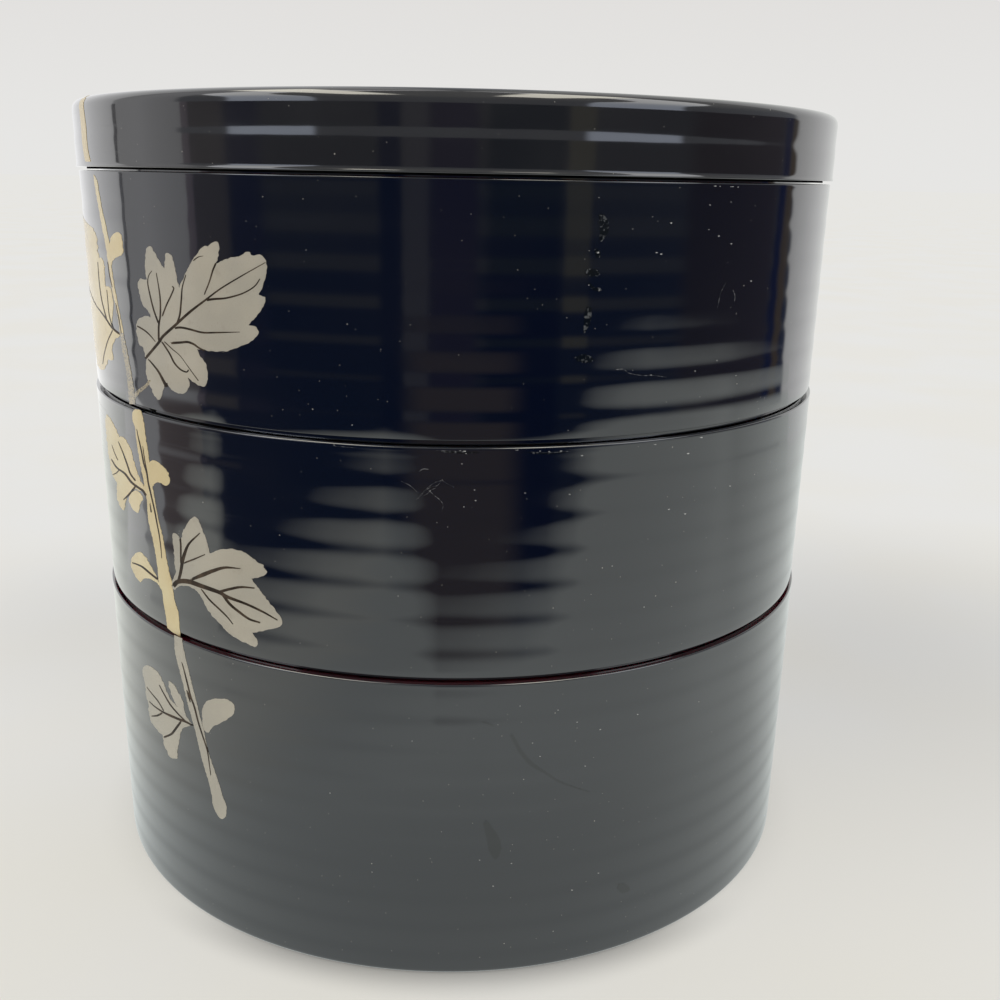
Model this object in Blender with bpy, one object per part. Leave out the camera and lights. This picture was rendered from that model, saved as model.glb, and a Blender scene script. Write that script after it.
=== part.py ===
"""A round box of three stacking tiers and a lid, in black lacquer with shallow turned ribs.

Metres, +Z up. The Z axis is the axis of the box, which stands on z = 0. Each piece is one hollow
turned solid: a closed outline in the XZ plane, spun about Z. An outline starts on the axis inside
the piece, or on top of the lid, and runs down the outer side from top to bottom.
"""

import math

import bpy

# Tiers
TIER_RADIUS = 0.0910
WALL = 0.0040
WALL_LEAN = 0.0075
UPPER_HEIGHT = 0.0478
BOTTOM_HEIGHT = 0.0693
FLOOR = 0.0034
CORNER_ROUND = 0.0040
EDGE_ROUND = 0.0002
MOUTH_ROUND = 0.0005

# Turned ribs: the first crest above the lower edge, the pitch, and the depth from crest to hollow
LID_RIBS = (0.0050, 0.0070, 0.00008)
TOP_RIBS = (0.0028, 0.0070, 0.00008)
MIDDLE_RIBS = (0.0034, 0.00715, 0.00007)
BOTTOM_RIBS = (0.0030, 0.00705, 0.00007)

# The plain lip at the rim of a tier
LIP_HEIGHT = 0.0011
LIP_ROUND = 0.0003

# Where one piece sits on the next: the open line between them, and the ring that drops in
SEAM = 0.0012
LID_SEAM = 0.0007
SEAM_DEPTH = 0.0018
REST_GAP = 0.0003
RING_DEPTH = 0.0042
RING_SLACK = 0.0005
RING_WIDTH = 0.0040
RING_RECESS = 0.0012

# Foot of the bottom tier
FOOT_WIDTH = 0.0060
FOOT_ROUND = 0.0010
FOOT_RECESS = 0.0030

# Lid
LID_HEIGHT = 0.0148
LID_OVERHANG = 0.0004
LID_TOP = 0.0036
LID_CROWN = 0.0005
LID_ROUND = 0.0020
LID_FLANGE = 0.0024
LID_LEDGE = 0.0016
LID_CORNER = 0.0030
FLARE_HEIGHT = 0.0010
FLARE_STEP = 0.00015

# Facets round the axis, and along the round corners
SEGMENTS = 44
CORNER_STEPS = 2
SHOULDER_STEPS = 3
CROWN_STEPS = 2
EXACT_MERGE = 0.00001
SHARP_ANGLE = math.radians(50)

# Places that the sizes above settle
BOTTOM_RIM = BOTTOM_HEIGHT
MIDDLE_EDGE = BOTTOM_RIM + SEAM
MIDDLE_RIM = MIDDLE_EDGE + UPPER_HEIGHT
TOP_EDGE = MIDDLE_RIM + SEAM
TOP_RIM = TOP_EDGE + UPPER_HEIGHT
LID_EDGE = TOP_RIM + LID_SEAM
LID_PEAK = LID_EDGE + LID_HEIGHT
MOUTH_RADIUS = TIER_RADIUS - WALL
SEAM_RADIUS = TIER_RADIUS - SEAM_DEPTH
RING_RADIUS = MOUTH_RADIUS - RING_SLACK


def lacquer(name, color, roughness):
    """A glossy Principled material."""
    material = bpy.data.materials.new(name)
    material.use_nodes = True
    shader = material.node_tree.nodes["Principled BSDF"]
    shader.inputs["Base Color"].default_value = (*color, 1.0)
    shader.inputs["Roughness"].default_value = roughness
    shader.inputs["Metallic"].default_value = 0.0
    material.diffuse_color = (*color, 1.0)
    return material


def arc(centre_r, centre_z, radius, start, end, steps):
    """Points of an arc in the outline's plane, between two angles in degrees from +X."""
    points = []
    for step in range(steps + 1):
        angle = math.radians(start + (end - start) * step / steps)
        points.append((centre_r + radius * math.cos(angle), centre_z + radius * math.sin(angle)))
    return points


def leaning_radius(height, up):
    """Outer radius of a tier without its ribs: the wall leans in from the rim to the lower edge."""
    return TIER_RADIUS - WALL_LEAN * (height - up)


def rib_swell(up, ribs):
    """How far the ribbed surface stands out from the plain wall, at a height above the lower edge."""
    first_crest, pitch, depth = ribs
    return depth / 2 * math.cos(2 * math.pi * (up - first_crest) / pitch)


def rib_heights(ribs, lowest, highest):
    """Heights of the crests and hollows between two heights above the lower edge, highest first."""
    first_crest, pitch, _ = ribs
    half = pitch / 2
    first = math.ceil((lowest - first_crest) / half)
    last = math.floor((highest - first_crest) / half)
    return [first_crest + half * step for step in range(last, first - 1, -1)]


def tier_outline(edge, height, floor, ribs, foot_round, underside):
    """Outline of a tier: out over its floor, up inside, over the rim, down the ribs and underneath."""
    rim = edge + height
    inner = leaning_radius(height, floor + CORNER_ROUND - edge) - WALL
    foot = leaning_radius(height, 0.0)
    outline = [(0.0, floor)]
    outline += arc(inner - CORNER_ROUND, floor + CORNER_ROUND, CORNER_ROUND, -90, 0, CORNER_STEPS)
    outline += [(MOUTH_RADIUS, rim - MOUTH_ROUND), (MOUTH_RADIUS + MOUTH_ROUND, rim)]
    outline += [(TIER_RADIUS - LIP_ROUND, rim), (TIER_RADIUS, rim - LIP_ROUND)]
    outline += [(TIER_RADIUS, rim - LIP_HEIGHT)]
    for up in rib_heights(ribs, foot_round + EDGE_ROUND, height - LIP_HEIGHT - EDGE_ROUND):
        outline.append((leaning_radius(height, up) + rib_swell(up, ribs), edge + up))
    outline += [(foot, edge + foot_round), (foot - foot_round, edge)]
    return outline + underside


def ring_under(edge, seam):
    """Underside of a piece that sits on a tier: the shadow line, the seat and the ring's outer face."""
    seat = edge - seam + REST_GAP
    return [(SEAM_RADIUS, edge), (SEAM_RADIUS, seat), (RING_RADIUS, seat), (RING_RADIUS, seat - RING_DEPTH)]


def upper_tier_outline(edge, ribs):
    """The top and the middle tier are alike but for their ribs."""
    ring_foot = edge - SEAM + REST_GAP - RING_DEPTH
    recess = ring_foot + RING_RECESS
    inside = RING_RADIUS - RING_WIDTH
    underside = ring_under(edge, SEAM) + [(inside, ring_foot), (inside, recess), (0.0, recess)]
    return tier_outline(edge, UPPER_HEIGHT, recess + FLOOR, ribs, EDGE_ROUND, underside)


def bottom_tier_outline():
    """The deep tier stands on a foot ring with a recess inside it."""
    inside = leaning_radius(BOTTOM_HEIGHT, 0.0) - FOOT_WIDTH
    underside = [(inside, 0.0), (inside, FOOT_RECESS), (0.0, FOOT_RECESS)]
    return tier_outline(0.0, BOTTOM_HEIGHT, FOOT_RECESS + FLOOR, BOTTOM_RIBS, FOOT_ROUND, underside)


def lid_outline():
    """A low crown, a round shoulder, ribs, a flared edge, and the hollow above the flange."""
    radius = TIER_RADIUS + LID_OVERHANG
    shoulder = LID_HEIGHT - LID_CROWN - LID_ROUND
    outline = []
    for step in range(CROWN_STEPS):
        out = step / CROWN_STEPS
        outline.append(((radius - LID_ROUND) * out, LID_PEAK - LID_CROWN * out**2))
    outline += arc(radius - LID_ROUND, LID_EDGE + shoulder, LID_ROUND, 90, 0, SHOULDER_STEPS)
    for up in rib_heights(LID_RIBS, FLARE_HEIGHT + EDGE_ROUND, shoulder - EDGE_ROUND):
        outline.append((radius + rib_swell(up, LID_RIBS), LID_EDGE + up))
    outline += [(radius, LID_EDGE + FLARE_HEIGHT), (radius + FLARE_STEP, LID_EDGE + EDGE_ROUND)]
    outline += [(radius + FLARE_STEP - EDGE_ROUND, LID_EDGE)]
    outline += ring_under(LID_EDGE, LID_SEAM)
    seat = LID_EDGE - LID_SEAM + REST_GAP
    flange = RING_RADIUS - LID_FLANGE
    inner = radius - WALL
    ceiling = LID_PEAK - LID_CROWN - LID_TOP
    outline += [(flange, seat - RING_DEPTH), (flange, seat + LID_LEDGE)]
    outline += [(inner, seat + LID_LEDGE + inner - flange)]
    outline += arc(inner - LID_CORNER, ceiling - LID_CORNER, LID_CORNER, 0, 90, CORNER_STEPS)
    return outline + [(0.0, ceiling)]


def turned(name, outline, material):
    """A solid of revolution: the outline as a chain of edges, spun about Z by a Screw modifier."""
    mesh = bpy.data.meshes.new(name)
    points = [(r, 0.0, z) for r, z in outline]
    edges = [(i, i + 1) for i in range(len(points) - 1)]
    mesh.from_pydata(points, edges, [])
    mesh.materials.append(material)
    piece = bpy.data.objects.new(name, mesh)
    bpy.context.scene.collection.objects.link(piece)
    spin = piece.modifiers.new("Spin", "SCREW")
    spin.axis = "Z"
    spin.steps = SEGMENTS
    spin.render_steps = SEGMENTS
    spin.use_merge_vertices = True
    spin.merge_threshold = EXACT_MERGE
    spin.use_smooth_shade = False
    smooth(piece)
    return piece


def smooth(piece):
    """Turns the spin into a mesh that is smooth round the axis and sharp at its turned corners."""
    graph = bpy.context.evaluated_depsgraph_get()
    mesh = bpy.data.meshes.new_from_object(piece.evaluated_get(graph))
    mesh.shade_smooth()
    mesh.set_sharp_from_angle(angle=SHARP_ANGLE)
    piece.modifiers.clear()
    piece.data = mesh


def main():
    for leftover in list(bpy.data.objects):
        bpy.data.objects.remove(leftover, do_unlink=True)
    black = lacquer("black_lacquer", (0.008, 0.009, 0.012), 0.12)
    turned("tier_bottom", bottom_tier_outline(), black)
    turned("tier_middle", upper_tier_outline(MIDDLE_EDGE, MIDDLE_RIBS), black)
    turned("tier_top", upper_tier_outline(TOP_EDGE, TOP_RIBS), black)
    turned("lid", lid_outline(), black)


main()
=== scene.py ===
"""Dresses a round box of three stacking tiers and a lid: black lacquer with shallow turned ribs, dark red
lacquer inside, and a spray of leaves in sprinkled gold and silver that climbs its left side.

Metres, +Z up, with the axis of the box on Z. A place on a wall is given unrolled: across, the turn from the
front times the tier's radius, and up. The spray is drawn as seen in a square picture of 1000 pixels, and
each stroke is carried onto the wall that it lies on.
"""

import math

import bmesh
import bpy
from mathutils import Matrix, Vector, noise
from mathutils.geometry import delaunay_2d_cdt


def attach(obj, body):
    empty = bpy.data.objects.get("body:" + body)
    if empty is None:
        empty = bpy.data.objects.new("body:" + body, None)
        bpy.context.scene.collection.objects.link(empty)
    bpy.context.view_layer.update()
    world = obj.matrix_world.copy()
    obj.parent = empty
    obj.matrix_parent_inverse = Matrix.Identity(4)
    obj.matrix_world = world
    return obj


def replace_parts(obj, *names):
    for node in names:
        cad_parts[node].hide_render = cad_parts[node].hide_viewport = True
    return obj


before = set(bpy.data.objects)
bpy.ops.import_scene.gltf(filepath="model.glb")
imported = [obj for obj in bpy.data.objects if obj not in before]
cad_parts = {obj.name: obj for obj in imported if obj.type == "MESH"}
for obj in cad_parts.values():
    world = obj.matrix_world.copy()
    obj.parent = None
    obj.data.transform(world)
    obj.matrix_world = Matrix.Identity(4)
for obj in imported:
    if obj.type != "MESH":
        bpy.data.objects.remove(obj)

# Sizes of the solids
TIER_RADIUS = 0.0910
WALL = 0.0040
WALL_LEAN = 0.0075
UPPER_HEIGHT = 0.0478
BOTTOM_HEIGHT = 0.0693
FLOOR = 0.0034
CORNER_ROUND = 0.0040
EDGE_ROUND = 0.0002
MOUTH_ROUND = 0.0005
LID_RIBS = (0.0050, 0.0070, 0.00008)
TOP_RIBS = (0.0028, 0.0070, 0.00008)
MIDDLE_RIBS = (0.0034, 0.00715, 0.00007)
BOTTOM_RIBS = (0.0030, 0.00705, 0.00007)
LIP_ROUND = 0.0003
SEAM = 0.0012
LID_SEAM = 0.0007
SEAM_DEPTH = 0.0018
REST_GAP = 0.0003
RING_DEPTH = 0.0042
RING_SLACK = 0.0005
RING_WIDTH = 0.0040
RING_RECESS = 0.0012
FOOT_WIDTH = 0.0060
FOOT_ROUND = 0.0010
FOOT_RECESS = 0.0030
LID_HEIGHT = 0.0148
LID_OVERHANG = 0.0004
LID_TOP = 0.0036
LID_CROWN = 0.0005
LID_ROUND = 0.0020
LID_FLANGE = 0.0024
LID_LEDGE = 0.0016
LID_CORNER = 0.0030
FLARE_HEIGHT = 0.0010
FLARE_STEP = 0.00015

# Places that the sizes settle
MIDDLE_EDGE = BOTTOM_HEIGHT + SEAM
TOP_EDGE = MIDDLE_EDGE + UPPER_HEIGHT + SEAM
LID_EDGE = TOP_EDGE + UPPER_HEIGHT + LID_SEAM
LID_PEAK = LID_EDGE + LID_HEIGHT
LID_RADIUS = TIER_RADIUS + LID_OVERHANG
LID_SIDE = LID_HEIGHT - LID_CROWN - LID_ROUND
MOUTH_RADIUS = TIER_RADIUS - WALL
SEAM_RADIUS = TIER_RADIUS - SEAM_DEPTH
RING_RADIUS = MOUTH_RADIUS - RING_SLACK

# How finely the turned shapes are cut, how much steeper a rib is above its crest than below it, and the
# slight turns of a tier's wall near its two edges: reach and step
SEGMENTS = 288
WALL_STEP = 0.0004
RIB_SKEW = 0.35
RIM_FLARE = (0.0022, 0.00007)
FOOT_TUCK = (0.0016, 0.00009)
LINING = 0.00003
LINING_ROOT = 0.0002
SHARP_ANGLE = math.radians(42)

# How far the sprinkled powder stands out from the lacquer, in layers
LEAF_LIFT = 0.00005
STEM_LIFT = 0.00006
VEIN_LIFT = 0.00007
POWDER_ROOT = 0.00005
POWDER_ROOM = 0.00008
POWDER_GRID = 0.0009

# The uneven edge of the powder, in pixels: how deep on a leaf and on a stem, and how long. Then how much the
# veins have spread, and the steps at which outlines, lines, wear marks and hidden or laid-out lines are cut
LEAF_EDGE = 0.95
STEM_EDGE = 0.55
EDGE_REACH = 3.2
VEIN_SPREAD = 1.2
LEAF_STEP = 1.5
LINE_STEP = 2.0
WEAR_STEP = 1.5
LAID_STEP = 2.5
HIDDEN_STEP = 0.0005
LID_STEM_STEP = 0.0006

# Camera: the focal length is in picture widths of 1000 pixels
PICTURE = 1000
FOCAL = 1116.3
SENSOR = 36.0
CAMERA_PLACE = Vector((0.0, -0.29611, 0.16759))
CAMERA_PITCH = math.radians(16.15)
CAMERA_TURN = math.radians(2.31)
CAMERA_ROLL = math.radians(1.12)

# The big silver leaf on the top tier, lobe by lobe from its base. All outlines are pixels, and each lobe
# after the first starts where the last one ended
TOP_LEAF = (
    ((145, 356), (143.5, 348), (140, 345), (138, 339), (136.5, 331), (136.5, 325), (138, 320.5), (142, 317),
     (147, 316), (151, 318)),
    ((148.5, 311), (144.5, 307), (141, 299), (139, 290.5), (138, 284), (139, 279.5), (142, 278.5),
     (147, 280.5)),
    ((146, 273.5), (145, 263), (146, 252), (147, 248), (150, 246.5), (153, 250), (158, 258.5), (162, 265.5),
     (164.5, 268.5)),
    ((165, 260.5), (166, 254), (168.5, 253), (172, 257), (175, 268), (177.5, 280), (179.5, 288.5)),
    ((181, 283), (184.5, 276.5), (188.5, 268), (193, 259.5), (198.5, 252), (204, 246.5), (208, 246),
     (212.5, 242.5), (215.5, 241.5), (218.5, 243.5), (219, 250), (218, 257.5), (216, 264)),
    ((223, 260.5), (233, 257.5), (240.5, 256), (243.5, 253.5), (247, 251.5), (250, 252.5), (251, 255)),
    ((254.5, 255.5), (259.5, 254.5), (264, 257.5), (266.5, 263), (267, 269), (265, 279), (262.5, 287.5),
     (258.5, 294.5)),
    ((262, 296), (265.5, 298), (265, 302.5), (262, 309), (256.5, 316), (251, 322), (248.5, 325.5)),
    ((253, 326), (257.5, 328.5), (258.5, 333), (255, 338), (248, 343), (237, 348), (226.5, 351),
     (214.5, 351.5), (205, 350), (197, 349.5)),
    ((200.5, 356), (205, 362.5), (207.5, 371), (207.5, 380.5), (205.5, 386.5), (202, 386), (196.5, 384),
     (190, 379.5), (188, 378)),
    ((189.5, 383), (188.5, 388), (185, 393), (178, 393), (173, 391), (169.5, 387), (167, 382.5)),
    ((165, 385), (162.5, 392.5), (160.5, 399), (158, 399.5), (155, 396.5), (152, 390), (150, 385),
     (146.5, 375), (146, 364.5), (147, 359), (145, 356)),
)

# Its dark veins: the line, and the widths in pixels from its start to its end
TOP_LEAF_VEINS = (
    (((146, 358), (159, 342.5), (163, 336.5), (174, 326.5), (190, 312), (205, 300.5), (221, 288.5),
      (242.5, 275.5), (265.5, 262.5)), (2.2, 2.3, 2.2, 1.4, 1.1, 0.6)),
    (((177, 324), (180, 315), (181.5, 300.5), (182.5, 287.5), (186, 275)), (1.6, 1.3, 0.7)),
    (((193.5, 260.5), (198.5, 257), (203.5, 256)), (0.9, 0.9, 0.4)),
    (((204.5, 294.5), (209.5, 282), (213, 270.5), (216, 263.5)), (1.0, 1.2, 1.5)),
    (((207, 300), (214.5, 299), (226.5, 298), (242.5, 293.5), (254.5, 286.5), (260, 279)),
     (2.0, 1.5, 1.2, 0.9)),
    (((175, 328), (181.5, 327.5), (191, 329.5), (203, 332.5), (218, 332.5), (240, 332)),
     (1.9, 1.6, 1.3, 0.5)),
    (((171.5, 343), (180.5, 342.5), (188, 342), (194.5, 344.5), (198.5, 347.5), (204.5, 350.5)),
     (2.1, 1.9, 1.1)),
    (((164.5, 341.5), (173, 349.5), (180.5, 356), (190, 369), (198.5, 380.5)), (0.9, 0.5, 0.8)),
    (((162, 341.5), (169.5, 353), (175, 363.5), (181.5, 370), (187, 372), (188.5, 370)), (1.2, 1.4, 1.2)),
    (((148.5, 359), (154.5, 366), (159, 372), (163, 379.5), (166.5, 386)), (1.0, 1.6, 2.6)),
    (((159, 341), (159, 326), (160.5, 315.5), (160.5, 300.5), (159, 287.5), (156.5, 273)),
     (1.6, 1.4, 1.1, 0.6)),
    (((159, 324), (154, 310), (150.5, 296), (148, 283), (149, 275.5), (152, 271)), (1.4, 1.1, 0.6)),
    (((162.5, 316), (166.5, 305.5), (171, 296), (174, 288.5), (172.5, 286.5)), (1.2, 1.2, 1.0)),
    (((137.5, 326), (145, 330.5), (150.5, 335.5), (155.5, 341.5)), (1.3, 1.1, 0.6)),
)

# The small gold leaflet beside the stem on the top tier
TOP_LEAFLET = (
    ((111, 266), (110, 258.5), (109, 247.5), (111, 238), (113.5, 233.5), (117.5, 232), (121, 234),
     (122.5, 242), (123, 251), (121.5, 255.5), (118, 256.5), (113.5, 259.5), (111, 266)),
)

# The gold leaf that goes round the left side of the top tier: the part in view, then the part behind,
# given as the turn from the front in degrees and the height in millimetres
TOP_SIDE_LEAF = (
    ((93, 228.5), (96.5, 237), (98, 251), (99.5, 258.5)),
    ((101.5, 258), (103.5, 262), (104.5, 271.5), (105.5, 286.5)),
    ((107, 286), (110, 287.5), (112.5, 296), (113.5, 308), (112.5, 319), (112, 325)),
    ((114.5, 329.5), (117.5, 332), (120.5, 333.5), (120, 336), (116, 338.5)),
    ((113, 344), (112, 350.5), (113.5, 357), (112.5, 360.5), (108.5, 360)),
    ((106, 365.5), (103.5, 370), (100, 369), (96.5, 364.5)),
)
TOP_SIDE_LEAF_BEHIND = (
    (-72, 129.0), (-75, 131.5), (-78.5, 131.0), (-80, 134.5), (-78.5, 137.5), (-82.5, 140.0), (-85.5, 144.5),
    (-83, 148.5), (-79.5, 149.0), (-80.5, 153.5), (-78, 157.0), (-74, 157.5),
)
TOP_SIDE_LEAF_VEINS = (
    (((120, 334.5), (112.5, 328), (105, 317), (97.5, 307)), (1.3, 1.2, 0.7)),
    (((113, 328), (109.5, 315), (108, 300), (107, 290)), (0.8, 0.5)),
    (((107, 320), (102, 300), (99.5, 282), (98, 262)), (0.9, 0.5)),
    (((113, 330), (108, 341), (104.5, 354), (103, 364)), (0.9, 0.5)),
)
# Its veins on the part behind: the pixel that each runs on from, if any, then turns and heights as above,
# and the widths in millimetres
TOP_SIDE_VEINS_BEHIND = (
    ((97.5, 307), ((-73.0, 141.5), (-78.5, 143.0), (-83.5, 144.6)), (0.35, 0.45, 0.35, 0.12)),
    (None, ((-73.0, 141.5), (-75.3, 146.0), (-76.8, 151.0), (-77.2, 154.5)), (0.35, 0.30, 0.25, 0.12)),
    (None, ((-71.0, 141.0), (-74.5, 137.5), (-78.5, 133.5)), (0.35, 0.35, 0.12)),
    (None, ((-77.0, 142.5), (-80.0, 145.0), (-81.5, 147.2)), (0.30, 0.25, 0.10)),
    (None, ((-76.0, 142.4), (-79.0, 141.2), (-81.5, 140.8)), (0.25, 0.25, 0.10)),
)

# The curl of gold under the big leaf
TOP_CURL = (((131, 403), (133.5, 398), (139, 391.5), (147, 385), (150, 380)), (3.5, 3.2, 2.6, 2.2))

# The gold leaf on the left of the middle tier, and the lobe below it
MIDDLE_SIDE_LEAF = (
    ((106.5, 414.5), (109.5, 417.5), (113.5, 424), (117, 431.5), (119.5, 437.5)),
    ((121, 436), (124, 437.5), (127, 442), (131, 450), (133, 458), (135.5, 466), (138, 475), (141, 482),
     (145, 488.5)),
    ((144.5, 492), (140, 490), (135.5, 489)),
    ((130, 493), (126.5, 498.5), (126, 501)),
    ((125, 506.5), (123.5, 510.5), (121.5, 508), (119.5, 503.5), (117.5, 499), (117, 492), (117, 483),
     (114.5, 478), (113, 475)),
    ((111, 469), (110, 461), (108, 449), (107, 438.5), (106, 427), (105.5, 419), (106.5, 414.5)),
)
MIDDLE_SIDE_LOBE = (
    ((138, 490.5), (141, 494), (143, 499.5), (141, 502.5)),
    ((139.5, 505.5), (139.5, 511), (138, 513), (134, 510), (131, 505.5), (129, 500.5), (130, 495),
     (134, 491), (138, 490.5)),
)
MIDDLE_SIDE_VEINS = (
    (((111.5, 459), (117, 467.5), (125, 473.5), (131.5, 482), (138.5, 487.5), (143, 490.5), (146, 495)),
     (0.8, 1.5, 1.8, 1.8)),
    (((118.5, 441.5), (123.5, 453.5), (128, 466), (130.5, 473.5), (135.5, 480.5)), (0.6, 1.2, 1.3)),
    (((113, 474.5), (116.5, 473), (119.5, 470)), (0.8, 1.0)),
    (((136, 486), (130, 493.5), (124, 499.5)), (1.6, 1.5, 1.0)),
    (((112, 444.5), (114.5, 452), (118, 460)), (0.4, 0.7)),
)

# The gold leaflets on both sides of the stem of the middle tier
MIDDLE_LEAFLET = (
    ((149, 465), (150, 461.5), (153, 460), (157, 461.5), (161.5, 465), (166, 469.5), (169, 473.5)),
    ((168.5, 475.5), (169.5, 478), (170, 482), (167.5, 485.5), (164, 485), (161, 482.5)),
    ((157.5, 482.5), (154.5, 484), (152.5, 486), (150.5, 480.5), (149.5, 472.5), (149, 465)),
)
LOWER_LEAFLET = (
    ((159.5, 586), (158, 579.5), (153.5, 570.5), (148.5, 561.5), (143, 554), (137, 552.5), (132.5, 558),
     (131, 564), (133, 570.5), (137, 577.5), (140.5, 582.5)),
    ((143.5, 579), (148.5, 578.5), (154.5, 580.5), (159.5, 586)),
)
LOWER_LEAFLET_VEIN = (((132.5, 562.5), (142, 566.5), (150, 573), (157.5, 579)), (1.0, 1.6, 1.6))

# The silver leaf on the middle tier
MIDDLE_LEAF = (
    ((172.5, 588), (171.5, 583.5), (174, 577.5), (176, 573), (175, 563.5), (173.5, 546.5), (172.5, 536),
     (174, 533), (177, 534), (180.5, 539.5)),
    ((183.5, 531), (188.5, 522), (193.5, 517), (197, 518), (201, 526), (205.5, 537), (208.5, 547),
     (210, 553.5)),
    ((215.5, 551), (223.5, 549), (232.5, 549), (241.5, 551), (249.5, 555.5), (256.5, 561.5), (263.5, 565)),
    ((264, 568), (267, 572), (263.5, 576), (256.5, 577.5), (251, 578.5)),
    ((256.5, 585.5), (262.5, 593.5), (268, 600.5), (274, 608.5), (278.5, 614), (281.5, 619), (282, 624),
     (278.5, 627), (269, 629.5), (258, 632), (252.5, 633)),
    ((257, 640), (258, 643.5), (255, 646.5), (246.5, 643.5), (235, 637.5), (227, 631.5), (220, 623.5),
     (212, 615.5), (206, 606), (201.5, 597), (196, 590), (189, 586.5), (183, 585.5), (177.5, 587),
     (175, 589.5), (172.5, 588)),
)
MIDDLE_LEAF_VEINS = (
    (((173.5, 586), (178.5, 581.5), (189, 581.5), (200.5, 585.5), (212, 589.5), (220, 592.5), (228, 597),
      (246.5, 604), (263.5, 612), (277.5, 620)), (3.8, 3.9, 3.4, 2.9, 2.0, 1.7, 0.9)),
    (((219, 592), (230, 589), (241.5, 587), (254.5, 588)), (2.4, 2.2, 1.0)),
    (((223, 594.5), (230, 604), (239.5, 612), (249.5, 619), (260, 622.5)), (2.4, 2.1, 1.9, 1.4)),
    (((201.5, 589), (209.5, 599.5), (220, 609.5), (228, 617.5), (233, 624)), (1.0, 1.4, 1.3, 0.7)),
    (((191.5, 579.5), (202.5, 575), (214, 570.5), (225.5, 567.5), (240.5, 568.5)),
     (2.2, 3.6, 3.0, 1.9, 0.6)),
    (((178.5, 582), (181, 571.5), (182.5, 562.5), (184.5, 554.5), (189, 544), (198, 535), (200, 533)),
     (2.2, 2.6, 2.8, 1.8, 0.8)),
    (((181, 564), (181, 546.5), (180.5, 539)), (1.2, 1.5, 1.5)),
    (((184, 563), (194.5, 559), (205, 554.5)), (1.4, 1.3, 0.8)),
)

# The silver leaf and leaflet on the bottom tier
BOTTOM_LEAF = (
    ((193, 725.5), (189, 720), (186, 716.5), (184.5, 708), (182, 699), (177, 689.5), (172.5, 683.5),
     (169.5, 680.5), (168.5, 683), (170, 689.5), (173.5, 699), (178, 707.5)),
    ((170.5, 699), (166, 689.5), (162.5, 680.5), (158.5, 673), (154, 668.5), (148.5, 665.5), (144, 667),
     (142.5, 671), (144.5, 680.5), (145.5, 688), (146.5, 695.5), (148.5, 703.5), (148.5, 710)),
    ((150, 715.5), (151.5, 722), (157, 729.5), (163, 736), (164, 744.5), (167, 750.5), (170.5, 757),
     (176, 758.5), (178, 758)),
    ((177, 751.5), (179, 743.5), (180.5, 734), (183.5, 727.5), (189, 726), (193, 725.5)),
)
BOTTOM_LEAF_VEINS = (
    (((193, 725.5), (185.5, 721.5), (180, 719.5), (170.5, 715.5), (162.5, 711.5), (155, 706.5),
      (149.5, 701.5)), (1.2, 2.0, 1.9, 1.2, 0.6)),
    (((185.5, 721), (178, 713.5), (170.5, 704.5), (164, 693.5), (159.5, 685)), (1.1, 1.2, 0.7)),
    (((164, 711), (158.5, 701.5), (152, 693.5), (147, 687)), (0.9, 0.9, 0.5)),
    (((162.5, 713), (157.5, 715.5), (152, 716)), (1.7, 1.6, 0.9)),
    (((181.5, 721), (176, 728.5), (171.5, 734), (164.5, 737)), (1.7, 2.0, 1.6)),
)
BOTTOM_LEAFLET = (
    ((206.5, 732.5), (204, 729.5), (202.5, 717.5), (203, 708), (206.5, 701.5), (213, 699), (222.5, 698.5),
     (231, 701), (234, 704.5), (235, 710), (233, 715), (227, 719.5), (218.5, 724), (212, 728),
     (208.5, 732.5)),
    ((206.5, 732.5),),
)

# The stem: its left edge from the top down, then its right edge from the bottom up
LID_STEM = (
    ((79.5, 97), (79.2, 102), (79.9, 112), (81, 126), (82.4, 140), (83.4, 150), (84.6, 158), (86, 167.5)),
    ((92.5, 167.5),),
    ((91.5, 165), (89.6, 158), (88.1, 150), (87.1, 140), (85.8, 126), (84.3, 112), (83.4, 102), (83.2, 97)),
    ((79.5, 97),),
)
TOP_STEM = (
    ((93.5, 175), (94.5, 182), (96.5, 195), (99.5, 211), (102.5, 228.5), (105.5, 243.5), (107.5, 257),
     (109.5, 270), (111.5, 285), (115, 302), (118, 317), (120.5, 333)),
    ((123.5, 333),),
    ((120.5, 317), (117, 300), (114, 284), (112, 270), (110.5, 257), (109.5, 243.5), (106.5, 228.5),
     (102.5, 211), (99.5, 195), (97.5, 182), (94.5, 175.5), (93.5, 175)),
)
TOP_STEM_WORN = (
    ((120.5, 333.5), (122.5, 350), (126, 368), (128, 386), (129.5, 404)),
    ((135.5, 404),),
    ((133.5, 386), (130.5, 368), (127, 350), (123.5, 333.5)),
    ((120.5, 333.5),),
)
TOP_STEM_LINES = (
    (((108, 262), (110, 276), (112.5, 287)), (0.8, 0.8, 0.5)),
    (((116, 303), (119, 318), (121.5, 333)), (0.6, 0.8, 0.6)),
)
MIDDLE_STEM = (
    ((135.5, 409), (133, 411.5), (132.5, 419), (135, 427), (136.5, 438.5), (138.5, 453.5), (141.5, 469),
     (144, 481), (144.5, 490.5), (147, 499.5), (148.5, 520), (152, 535), (155.5, 552), (158, 569.5),
     (159.5, 584.5), (162.5, 592.5), (164, 604), (166, 615.5), (167.5, 628)),
    ((174, 633), (180.5, 637)),
    ((179.5, 624.5), (178.5, 613), (175, 601.5), (173.5, 592.5), (172, 582), (169.5, 573), (166, 555.5),
     (162.5, 535), (158.5, 520), (155.5, 503), (152.5, 486), (150, 466), (148.5, 453.5), (146, 438.5),
     (144, 423), (142.5, 415), (140.5, 410.5), (135.5, 409)),
)
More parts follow.
